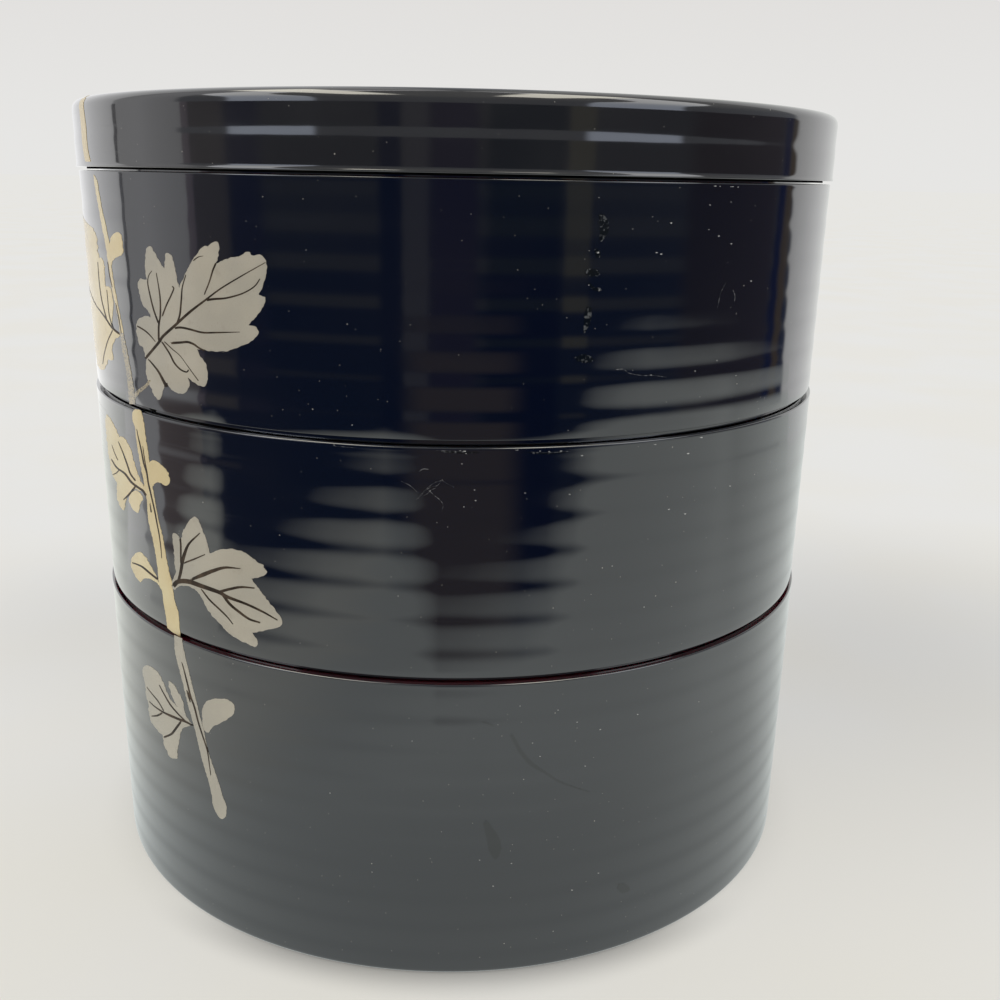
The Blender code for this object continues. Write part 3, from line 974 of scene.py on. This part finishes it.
def scuff(name, tones, low, high):
    """Rubbed or chipped lacquer, broken up by a fine grain."""
    material, shader, nodes = principled(name, 0.3, specular=0.5)
    grain = nodes.ramp(nodes.noise(1400.0, 3.0), low, high)
    nodes.feed(shader.inputs["Base Color"], nodes.mix(grain, *tones))
    nodes.feed(shader.inputs["Roughness"], nodes.ramp(grain, 0.0, 1.0, 0.12, 0.6))
    return material


def vein_lacquer():
    """The dull brown lacquer of the drawn veins."""
    material, shader, nodes = principled("vein_lacquer", 0.4, specular=0.12)
    cover = nodes.ramp(nodes.noise(420.0, 3.0), 0.35, 0.75)
    nodes.feed(shader.inputs["Base Color"], nodes.mix(cover, *VEIN_TONES))
    nodes.feed(shader.inputs["Roughness"], nodes.ramp(cover, 0.0, 1.0, 0.32, 0.5))
    return material


def painted_seam_shadow():
    """A dull black sheet in the narrow line under the lid: painted shadow of the seam."""
    material, shader, nodes = principled("painted_seam_shadow", 0.9, specular=0.0)
    shadow_mottle = nodes.ramp(nodes.noise(300.0, 3.0), 0.35, 0.75)
    nodes.feed(shader.inputs["Base Color"], nodes.mix(shadow_mottle, *SEAM_SHADOW_TONES))
    nodes.feed(shader.inputs["Roughness"], nodes.ramp(shadow_mottle, 0.0, 1.0, 0.8, 1.0))
    return material


def floor_material():
    """A pale glowing table, with painted soft shade round the foot and two broad painted shades, and warmer
    light in front.
    """
    material, shader, nodes = principled("pale_floor", 0.9, specular=0.0)
    nodes.feed(shader.inputs["Base Color"], FLOOR_TONE)
    split = nodes.add("ShaderNodeSeparateXYZ")
    nodes.feed(split.inputs[0], nodes.stretched((1.0, 1.0, 1.0)))
    x, y, _ = split.outputs
    reach = nodes.length(x, y)
    glow = nodes.ramp(reach, *FOOT_SHADE, nodes.ramp(y, *FOOT_FRONT, *FOOT_LEVEL), FLOOR_LEVEL)
    for across, ahead, size, depth in FLOOR_SHADES:
        off = nodes.length(nodes.math("SUBTRACT", x, across), nodes.math("SUBTRACT", y, ahead))
        glow = nodes.math("MULTIPLY", glow, nodes.ramp(off, 0.0, size, 1.0 - depth, 1.0))
    warm = nodes.mix(nodes.ramp(y, -0.06, 0.04), FLOOR_WARM, FLOOR_EVEN)
    cloud = nodes.ramp(nodes.noise(9.0, 2.0), 0.3, 0.7)
    nodes.feed(shader.inputs["Emission Color"], nodes.mix(cloud, warm, FLOOR_CREAM))
    nodes.feed(shader.inputs["Emission Strength"], glow)
    return material


def mirrored_table():
    """The same table as the lacquer mirrors it, a glowing sheet with painted shade: it fades out where its
    cover does.
    """
    material = bpy.data.materials.new("mirrored_floor")
    material.use_nodes = True
    tree = material.node_tree
    tree.nodes.clear()
    nodes = Nodes(tree)
    split = nodes.add("ShaderNodeSeparateXYZ")
    nodes.feed(split.inputs[0], nodes.stretched((1.0, 1.0, 1.0)))
    x, y, _ = split.outputs
    reach = nodes.length(x, y)
    # Painted shade: darker near the foot, behind on the right, and farther out, most towards the left
    near = nodes.ramp(reach, 0.110, 0.195, 1.0, 1.22)
    behind = nodes.ramp(y, -0.09, -0.02, 1.0, nodes.ramp(x, -0.05, 0.05, 1.0, 0.84))
    middle = nodes.ramp(nodes.math("SUBTRACT", reach, nodes.math("MULTIPLY", x, 0.9)), 0.20, 0.29, 1.0, 0.88)
    glow = nodes.add("ShaderNodeEmission")
    left, middle_tone, right = TABLE_LIGHT_AND_SHADE
    tone = nodes.mix(nodes.ramp(x, -0.15, -0.08), left, middle_tone)
    nodes.feed(glow.inputs[0], nodes.mix(nodes.ramp(x, 0.02, 0.20), tone, right))
    nodes.feed(glow.inputs[1], nodes.math("MULTIPLY", near, nodes.math("MULTIPLY", behind, middle)))
    clear = nodes.add("ShaderNodeBsdfTransparent")
    blend = nodes.add("ShaderNodeMixShader")
    nodes.feed(blend.inputs[0], nodes.add("ShaderNodeAttribute", attribute_name="cover").outputs["Fac"])
    nodes.feed(blend.inputs[1], clear.outputs[0])
    nodes.feed(blend.inputs[2], glow.outputs[0])
    nodes.feed(nodes.add("ShaderNodeOutputMaterial").inputs[0], blend.outputs[0])
    return material


# Studio

# The shade round the foot, from and to these distances from the axis, and two broad soft shades:
# across, ahead, size and depth
FOOT_SHADE = (0.0865, 0.1000)
FLOOR_SHADES = ((0.16, 0.09, 0.20, 0.30), (-0.13, 0.12, 0.12, 0.16))

# How far the table reaches in the mirrored view from the axis, by the turn from the front in degrees
TABLE_REACH = (
    (-180, 0.55), (-113.5, 0.55), (-112.5, 0.30), (-85, 0.30), (-79, 0.42), (-71, 0.49), (-67.5, 0.42),
    (-65, 0.30), (-60, 0.27), (-56, 0.272), (-49, 0.285), (-41, 0.32), (-34, 0.36), (-26, 0.39), (-19, 0.43),
    (-11, 0.37), (-4, 0.255), (2, 0.262), (8, 0.275), (16, 0.29), (23, 0.32), (31, 0.42), (38, 0.60),
    (46, 0.71), (54, 0.78), (80, 0.77), (94, 0.73), (116, 0.71), (118, 0.71), (119, 0.55), (180, 0.55),
)
TABLE_FADE = (0.79, 1.24)
ROOM_REACH = 30.0
FLOOR_CENTRE = 0.01

# The floor's own tone, its warm, even and creamy light, the level of its light, the level at the foot in
# front and behind, and where one passes into the other
FLOOR_TONE = (0.29, 0.288, 0.28)
FLOOR_WARM, FLOOR_EVEN, FLOOR_CREAM = (1.0, 0.97, 0.87), (1.0, 1.0, 0.985), (1.0, 0.98, 0.92)
FLOOR_LEVEL = 0.52
FOOT_LEVEL = (0.10, 0.47)
FOOT_FRONT = (-0.086, -0.062)

# The mirrored table's tones from left to right: painted light and shade, darker to the right
TABLE_LIGHT_AND_SHADE = ((0.740, 0.760, 0.715), (0.668, 0.708, 0.692), (0.640, 0.672, 0.652))

# The light on everything, and the background that the camera sees: level with it, and higher up
EVEN_LIGHT = (0.96, 0.955, 0.945)
SEEN_ROOM = ((0.795, 0.79, 0.775), (0.745, 0.73, 0.715))

# The mirrored room. Pairs of tones are a lower and a higher one, and the left wall's are behind and beside
WHITE_WALL = ((1.05, 1.05, 1.04), (0.91, 0.91, 0.92))
LEFT_WALL = ((0.52, 0.52, 0.53), (0.68, 0.68, 0.70))
RIGHT_WALL = (0.80, 0.80, 0.80)
RIGHT_WALL_BEHIND = (0.70, 0.71, 0.69)
BACK_WALL = (0.40, 0.41, 0.43)
FRONT = ((0.022, 0.032, 0.078), (0.085, 0.090, 0.110))
FRONT_LEAN = 0.55

# Patches on its dark front and then on its walls: the turns from and to, how soft the edges are, the tone,
# and whether it shows at all heights, low near the table, high above it, or comes late on the way up
FRONT_PATCHES = (
    (-22.0, -15.5, 1.5, (0.016, 0.024, 0.072), "all"),
    (8.0, 29.0, 2.0, ((0.008, 0.014, 0.062), (0.034, 0.046, 0.070)), "all"),
    (-83.5, -79.5, 0.7, (0.31, 0.27, 0.31), "high"),
    (-79.5, -67.0, 1.0, (0.15, 0.14, 0.15), "high"),
    (-67.0, -56.0, 3.0, (0.040, 0.045, 0.095), "high"),
    (-15.5, -8.0, 1.2, (0.13, 0.13, 0.16), "high"),
    (-8.0, 5.0, 2.0, (0.050, 0.045, 0.095), "high"),
    (30.0, 37.5, 1.0, (0.17, 0.165, 0.14), "late"),
    (68.0, 106.5, 4.0, (0.058, 0.050, 0.066), "all"),
    (106.5, 110.5, 1.5, (0.020, 0.026, 0.080), "all"),
    (110.5, 114.5, 1.5, (0.11, 0.085, 0.065), "high"),
    (-14.0, 17.0, 5.0, (0.135, 0.112, 0.115), "low"),
)
WALL_PATCHES = (
    (-102.0, -82.0, 0.7, (0.22, 0.185, 0.18), "low"),
    (-113.7, -111.9, 0.3, (0.12, 0.12, 0.13), "high"),
)

# Its ceiling, its windows and how far they lean out at the top, and its lamps: how far they reach across and
# ahead, for a ceiling one unit up
CEILING = ((0.24, 0.25, 0.28), (0.42, 0.42, 0.42))
PANE = ((1.30, 1.42, 1.68), (2.6, 2.6, 2.6))
WINDOWS = ((-66.0, -39.5, "ADD"), (35.0, 64.0, "SUBTRACT"))
WINDOW_LEAN = 22.0
LAMPS = (((-0.78, -0.40), (-0.2, 1.2)), ((0.22, 0.62), (0.05, 1.15)))
LAMP_TONE = (4.9, 4.7, 4.1)


def table_top(name, reach_at, material, fade):
    """A flat floor whose edge lies at a distance that depends on the turn and fades out over a short way."""
    count = 360
    vertices = [(0.0, 0.0, 0.0)]
    for part in fade:
        for turn in range(-180, 180):
            angle = math.radians(turn)
            reach = reach_at(turn) * part
            vertices.append((reach * math.sin(angle), -reach * math.cos(angle), 0.0))
    faces = []
    for i in range(count):
        ahead = (i + 1) % count
        faces.append((0, i + 1, ahead + 1))
        faces.append((i + 1, count + i + 1, count + ahead + 1, ahead + 1))
    mesh = bpy.data.meshes.new(name)
    mesh.from_pydata(vertices, [], faces)
    mesh.materials.append(material)
    cover = mesh.attributes.new("cover", "FLOAT", "POINT")
    cover.data.foreach_set("value", [1.0] * (count + 1) + [0.0] * count)
    top = bpy.data.objects.new(name, mesh)
    bpy.context.scene.collection.objects.link(top)
    return top


def table_reach(turn):
    """The reach between the two nearest turns that are given."""
    for (low, near), (high, far) in zip(TABLE_REACH, TABLE_REACH[1:]):
        if low <= turn <= high:
            return near + (far - near) * (turn - low) / (high - low)
    return TABLE_REACH[-1][1]


def build_floor():
    """The floor, and the smaller table that the lacquer mirrors in its place."""
    floor = table_top("floor", lambda turn: ROOM_REACH, floor_material(), (FLOOR_CENTRE, 1.0))
    floor.visible_glossy = False
    mirrored = table_top("floor_mirrored", table_reach, mirrored_table(), TABLE_FADE)
    mirrored.visible_camera = False
    mirrored.visible_diffuse = False
    mirrored.visible_transmission = False
    mirrored.visible_shadow = False


def patch(nodes, color, start, end, soft, tone, level, at):
    """Lays a tone over a color from one turn to another."""
    return nodes.mix(nodes.math("MULTIPLY", nodes.band(at, start, end, soft), level), color, tone)


def mirrored_walls(nodes, turn, rise):
    """The pale walls at the sides and behind."""
    walls = nodes.mix(nodes.ramp(rise, -6.0, -2.0), *WHITE_WALL)
    left = nodes.mix(nodes.ramp(turn, -112.0, -98.0), *LEFT_WALL)
    walls = nodes.mix(nodes.band(turn, -113.5, -60.0, 0.5), walls, left)
    walls = nodes.mix(nodes.ramp(turn, -20.0, 20.0), walls, RIGHT_WALL)
    walls = nodes.mix(nodes.ramp(turn, 125.0, 165.0), walls, RIGHT_WALL_BEHIND)
    return nodes.mix(nodes.band(turn, -168.0, 168.0, 5.0), BACK_WALL, walls)


def mirrored_front(nodes, turn, rise, walls):
    """The dark side that the camera stands on, with its paler patches, between the walls."""
    low = nodes.ramp(rise, -14.0, -8.0, 1.0, 0.0)
    high = nodes.math("SUBTRACT", 1.0, low)
    haze = nodes.ramp(rise, -9.0, -2.0)
    levels = {"all": 1.0, "low": low, "high": high, "late": nodes.ramp(rise, -10.0, -4.0)}
    front = nodes.mix(haze, *FRONT)
    for start, end, soft, tone, level in FRONT_PATCHES:
        if len(tone) == 2:
            tone = nodes.mix(haze, *tone)
        front = patch(nodes, front, start, end, soft, tone, levels[level], turn)
    edge = nodes.math("ADD", turn, nodes.math("MULTIPLY", rise, FRONT_LEAN))
    color = nodes.mix(nodes.band(turn, -82.5, 150.0, 0.4), walls, front)
    color = nodes.mix(nodes.ramp(edge, 112.8, 115.4), color, walls)
    for start, end, soft, tone, level in WALL_PATCHES:
        color = patch(nodes, color, start, end, soft, tone, levels[level], turn)
    return color


def mirrored_ceiling(nodes, turn, rise, way, walls):
    """The dim ceiling, two windows that lean outward, and two lamps overhead."""
    x, y, z = way
    lean = nodes.ramp(rise, 8.0, 40.0, 0.0, WINDOW_LEAN)
    above = nodes.mix(nodes.ramp(rise, 5.0, 40.0), *CEILING)
    pane = nodes.mix(nodes.ramp(rise, 5.0, 35.0), *PANE)
    for start, end, side in WINDOWS:
        above = patch(nodes, above, start, end, 1.5, pane, 1.0, nodes.math(side, turn, lean))
    above = nodes.mix(nodes.band(turn, -84.0, 112.0, 2.0), walls, above)
    flat = nodes.math("MAXIMUM", z, 0.02)
    across = nodes.math("DIVIDE", x, flat)
    ahead = nodes.math("DIVIDE", nodes.math("MULTIPLY", y, -1.0), flat)
    lamps = [nodes.math("MULTIPLY", nodes.band(across, *width, 0.04), nodes.band(ahead, *depth, 0.1))
             for width, depth in LAMPS]
    return nodes.mix(nodes.math("MAXIMUM", *lamps), above, LAMP_TONE)


def build_room():
    """Even light all round. The lacquer mirrors a white room with a dark side and two soft windows."""
    world = bpy.data.worlds.new("studio")
    bpy.context.scene.world = world
    world.use_nodes = True
    world.cycles.sampling_method = "NONE"
    tree = world.node_tree
    tree.nodes.clear()
    nodes = Nodes(tree)
    split = nodes.add("ShaderNodeSeparateXYZ")
    nodes.feed(split.inputs[0], nodes.add("ShaderNodeTexCoord").outputs["Generated"])
    x, y, z = split.outputs
    turn = nodes.math("DEGREES", nodes.math("ARCTAN2", x, nodes.math("MULTIPLY", y, -1.0)))
    rise = nodes.math("DEGREES", nodes.math("ARCSINE", z))
    walls = mirrored_walls(nodes, turn, rise)
    color = nodes.mix(nodes.ramp(rise, 4.4, 5.2), mirrored_front(nodes, turn, rise, walls),
                      mirrored_ceiling(nodes, turn, rise, (x, y, z), walls))

    def background(tone):
        """An emitting background."""
        node = nodes.add("ShaderNodeBackground")
        nodes.feed(node.inputs[0], tone)
        return node.outputs[0]

    def choose(ray, other, own):
        """One shader for a kind of ray and another for all other rays."""
        node = nodes.add("ShaderNodeMixShader")
        for socket, value in zip(node.inputs, (path.outputs[ray], other, own)):
            nodes.feed(socket, value)
        return node.outputs[0]

    path = nodes.add("ShaderNodeLightPath")
    seen = background(nodes.mix(nodes.ramp(rise, 0.0, 12.0), *SEEN_ROOM))
    shown = choose("Is Camera Ray", choose("Is Glossy Ray", background(EVEN_LIGHT), background(color)), seen)
    nodes.feed(nodes.add("ShaderNodeOutputWorld").inputs[0], shown)


def build_camera():
    """The camera of the picture."""
    data = bpy.data.cameras.new("camera")
    data.sensor_fit = "HORIZONTAL"
    data.sensor_width = SENSOR
    data.lens = FOCAL / PICTURE * SENSOR
    data.clip_start = 0.01
    data.clip_end = 100.0
    camera = bpy.data.objects.new("camera", data)
    axes = Matrix((aim(1.0, 0.0, 0.0), aim(0.0, 0.0, 1.0), -aim(0.0, 1.0, 0.0))).transposed()
    camera.matrix_world = Matrix.Translation(CAMERA_PLACE) @ axes.to_4x4()
    bpy.context.scene.collection.objects.link(camera)
    bpy.context.scene.camera = camera
    bpy.context.scene.view_settings.view_transform = "Standard"


# The box


def build_box(black, lid_pale_black, red, shaded_rim_red):
    """The turned shells, the red inside them and the red on the bottom tier's rim, darkened as painted shade,
    and a dull black sheet of painted shadow in the line under the lid.
    """
    for name, edge, ribs in (("tier_top", TOP_EDGE, TOP_RIBS), ("tier_middle", MIDDLE_EDGE, MIDDLE_RIBS)):
        ring_foot = edge - SEAM + REST_GAP - RING_DEPTH
        recess = ring_foot + RING_RECESS
        within = RING_RADIUS - RING_WIDTH
        under = ring_under(edge, SEAM) + [(within, ring_foot), (within, recess), (0.0, recess)]
        dress_tier(name, edge, UPPER_HEIGHT, recess + FLOOR, ribs, EDGE_ROUND, under, black, red)
    within = leaning_radius(BOTTOM_HEIGHT, 0.0) - FOOT_WIDTH
    under = [(within, 0.0), (within, FOOT_RECESS), (0.0, FOOT_RECESS)]
    dress_tier("tier_bottom", 0.0, BOTTOM_HEIGHT, FOOT_RECESS + FLOOR, BOTTOM_RIBS, FOOT_ROUND, under, black,
               red)
    # The bottom tier's rim, in red darkened as painted shade of the seam
    lathe("tier_bottom_rim", lining(rim_top(0.0, BOTTOM_HEIGHT)), shaded_rim_red, "red_lacquer")
    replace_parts(lathe("lid_shell", lid_shell(), lid_pale_black, "black_lacquer"), "lid")
    lathe("lid_lining", lining(lid_inside()), red, "red_lacquer")
    # A dull black sheet in the slot under the lid: painted shadow of the seam
    slot = [(SEAM_RADIUS, LID_EDGE), (SEAM_RADIUS, LID_EDGE - LID_SEAM + REST_GAP)]
    lathe("lid_seam_shadow", lining(slot), painted_seam_shadow(), "black_lacquer")


def dress_tier(name, edge, height, floor, ribs, foot_round, under, black, red):
    """A tier's shell in its solid's place, and the red of its hollow."""
    shell = tier_shell(edge, height, floor, ribs, foot_round, under)
    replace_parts(lathe(name + "_shell", shell, black, "black_lacquer"), name)
    lathe(name + "_lining", lining(tier_inside(edge, height, floor)), red, "red_lacquer")


# The spray


def build_spray(silver, gold, worn, vein):
    """The leaves, leaflets and stems, each on its tier."""
    finishes = {"silver": (silver, "silver_sprinkle"), "gold": (gold, "gold_sprinkle"),
                "worn": (worn, "gold_sprinkle"), "vein": (vein, "black_lacquer")}
    top, middle, bottom = tier_skins().values()

    def leaf(name, lobes, skin, finish, lift=LEAF_LIFT, behind=()):
        """A shape drawn by its outline."""
        depth = STEM_EDGE if lift == STEM_LIFT else LEAF_EDGE
        outline = [cast(p, skin) for p in ragged(outline_of(lobes, LEAF_STEP), depth)]
        if behind:
            outline += flowing([outline[-1]] + unrolled(behind) + [outline[0]], HIDDEN_STEP)[1:-1]
        powder(name, [outline], wall_place(skin), lift, *finishes[finish])

    def lines(name, strokes, skin, finish="vein", lift=VEIN_LIFT):
        """Shapes drawn by their middle line."""
        outlines = [[cast(p, skin) for p in ribbon(points, [w * VEIN_SPREAD for w in widths], LINE_STEP)]
                    for points, widths in strokes]
        powder(name, outlines, wall_place(skin), lift, *finishes[finish])

    def lines_behind(name, strokes, skin):
        """Veins that run on out of view."""
        outlines = []
        for pixel, far, widths in strokes:
            line = [cast(pixel, skin)] if pixel else []
            outlines.append(ribbon(line + unrolled(far), [w / 1000 for w in widths], HIDDEN_STEP))
        powder(name, outlines, wall_place(skin), VEIN_LIFT, *finishes["vein"])

    leaf("top_leaf", TOP_LEAF, top, "silver")
    lines("top_leaf_veins", TOP_LEAF_VEINS, top)
    leaf("top_leaflet", TOP_LEAFLET, top, "gold")
    leaf("top_side_leaf", TOP_SIDE_LEAF, top, "gold", behind=TOP_SIDE_LEAF_BEHIND)
    lines("top_side_veins", TOP_SIDE_LEAF_VEINS, top)
    lines_behind("top_side_veins_behind", TOP_SIDE_VEINS_BEHIND, top)
    leaf("top_stem", TOP_STEM, top, "gold", STEM_LIFT)
    leaf("top_stem_worn", TOP_STEM_WORN, top, "worn", STEM_LIFT)
    lines("top_stem_lines", TOP_STEM_LINES, top)
    lines("top_curl", (TOP_CURL,), top, "worn", LEAF_LIFT)
    leaf("middle_side_leaf", MIDDLE_SIDE_LEAF, middle, "gold")
    leaf("middle_side_lobe", MIDDLE_SIDE_LOBE, middle, "gold")
    lines("middle_side_veins", MIDDLE_SIDE_VEINS, middle)
    leaf("middle_leaflet", MIDDLE_LEAFLET, middle, "gold")
    leaf("lower_leaflet", LOWER_LEAFLET, middle, "gold")
    lines("lower_leaflet_vein", (LOWER_LEAFLET_VEIN,), middle)
    leaf("middle_leaf", MIDDLE_LEAF, middle, "silver")
    lines("middle_leaf_veins", MIDDLE_LEAF_VEINS, middle)
    leaf("middle_stem", MIDDLE_STEM, middle, "gold", STEM_LIFT)
    lines("middle_stem_lines", MIDDLE_STEM_LINES, middle)
    leaf("bottom_leaf", BOTTOM_LEAF, bottom, "silver")
    lines("bottom_leaf_veins", BOTTOM_LEAF_VEINS, bottom)
    leaf("bottom_leaflet", BOTTOM_LEAFLET, bottom, "silver")
    leaf("bottom_stem", BOTTOM_STEM, bottom, "silver", STEM_LIFT)
    lines("bottom_stem_lines", BOTTOM_STEM_LINES, bottom)
    build_lid_spray(top, finishes)


def build_lid_spray(top, finishes):
    """The stem up the lid's side and over its shoulder, and the leaves on its top."""
    def side(z):
        return LID_RADIUS

    outline = [cast(p, side) for p in outline_of(LID_STEM, LINE_STEP)]
    outline = [Vector((p.x, max(p.y - LID_EDGE, FLARE_HEIGHT))) for p in outline]
    powder("lid_stem", [outline], lid_place, STEM_LIFT, *finishes["gold"])
    over = ribbon(unrolled(LID_STEM_OVER), [LID_STEM_WIDTH / 1000] * 2, LID_STEM_STEP)
    powder("lid_stem_over", [over], lid_place, LEAF_LIFT, *finishes["gold"])
    points, widths = LID_TOP_STEM
    stem = ribbon([(x / 1000, y / 1000) for x, y in points], [w / 1000 for w in widths], LID_STEM_STEP)
    powder("lid_top_stem", [stem], top_place, STEM_LIFT, *finishes["gold"])
    base = cast(TOP_LEAF[0][0], top)
    for number, (size, turn, spot, finish) in enumerate(LID_TOP_LEAVES, 1):
        c, s = math.cos(math.radians(turn)) * size, math.sin(math.radians(turn)) * size

        def laid(pixel):
            """A place of the big leaf, laid on the lid."""
            way = cast(pixel, top) - base
            return Vector((c * way.x - s * way.y + spot[0] / 1000, s * way.x + c * way.y + spot[1] / 1000))

        outline = [laid(p) for p in outline_of(TOP_LEAF, LINE_STEP)]
        powder(f"lid_leaf_{number}", [outline], top_place, LEAF_LIFT, *finishes[finish])
        veins = [[laid(p) for p in ribbon(line, across, LAID_STEP)] for line, across in TOP_LEAF_VEINS]
        powder(f"lid_leaf_{number}_veins", veins, top_place, VEIN_LIFT, *finishes["vein"])


def build_wear(pale, faint, rubbed, dull):
    """Chips, scratches and dulled places, each on the tier that it is seen on."""
    for tier, skin in tier_skins().items():
        strokes = []
        for x, y, wide, high in FLECKS[tier]:
            half = wide * FLECK_SIZE / 2
            strokes.append((((x - half, y), (x + half, y)), (high * FLECK_SIZE, high * FLECK_SIZE)))
        groups = (("flecks", {tier: strokes}, pale), ("scratches", SCRATCHES, faint),
                  ("rubbed", RUBBED, rubbed), ("dulled", DULLED, dull))
        for name, marks, material in groups:
            if tier in marks:
                outlines = [[cast(p, skin) for p in ribbon(points, widths, WEAR_STEP)]
                            for points, widths in marks[tier]]
                powder(f"{tier}_{name}", outlines, wall_place(skin), WEAR_LIFT, material, "black_lacquer")


def main():
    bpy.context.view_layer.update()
    build_camera()
    build_room()
    build_floor()
    black = lacquer("black_gloss_lacquer", *BLACK)
    lid_pale_black = lacquer("lid_gloss_lacquer", *LID_PALE_BLACK)
    red = lacquer("red_gloss_lacquer", *RED)
    shaded_rim_red = lacquer("rim_red_lacquer", *SHADED_RIM_RED)
    build_box(black, lid_pale_black, red, shaded_rim_red)
    silver = sprinkle("silver_powder", SILVER, 0.15, 0.5)
    gold = sprinkle("gold_powder", GOLD, 0.15, 0.45)
    build_spray(silver, gold, worn_powder(GOLD[0], GOLD_GROUND), vein_lacquer())
    pale = scuff("pale_chips", PALE, 0.4, 0.6)
    faint = scuff("faint_scratches", FAINT, 0.45, 0.65)
    rubbed = scuff("rubbed_lacquer", RUBBED_TONES, 0.52, 0.70)
    dull = lacquer("dulled_lacquer", *DULL, coat=0.78)
    build_wear(pale, faint, rubbed, dull)


main()
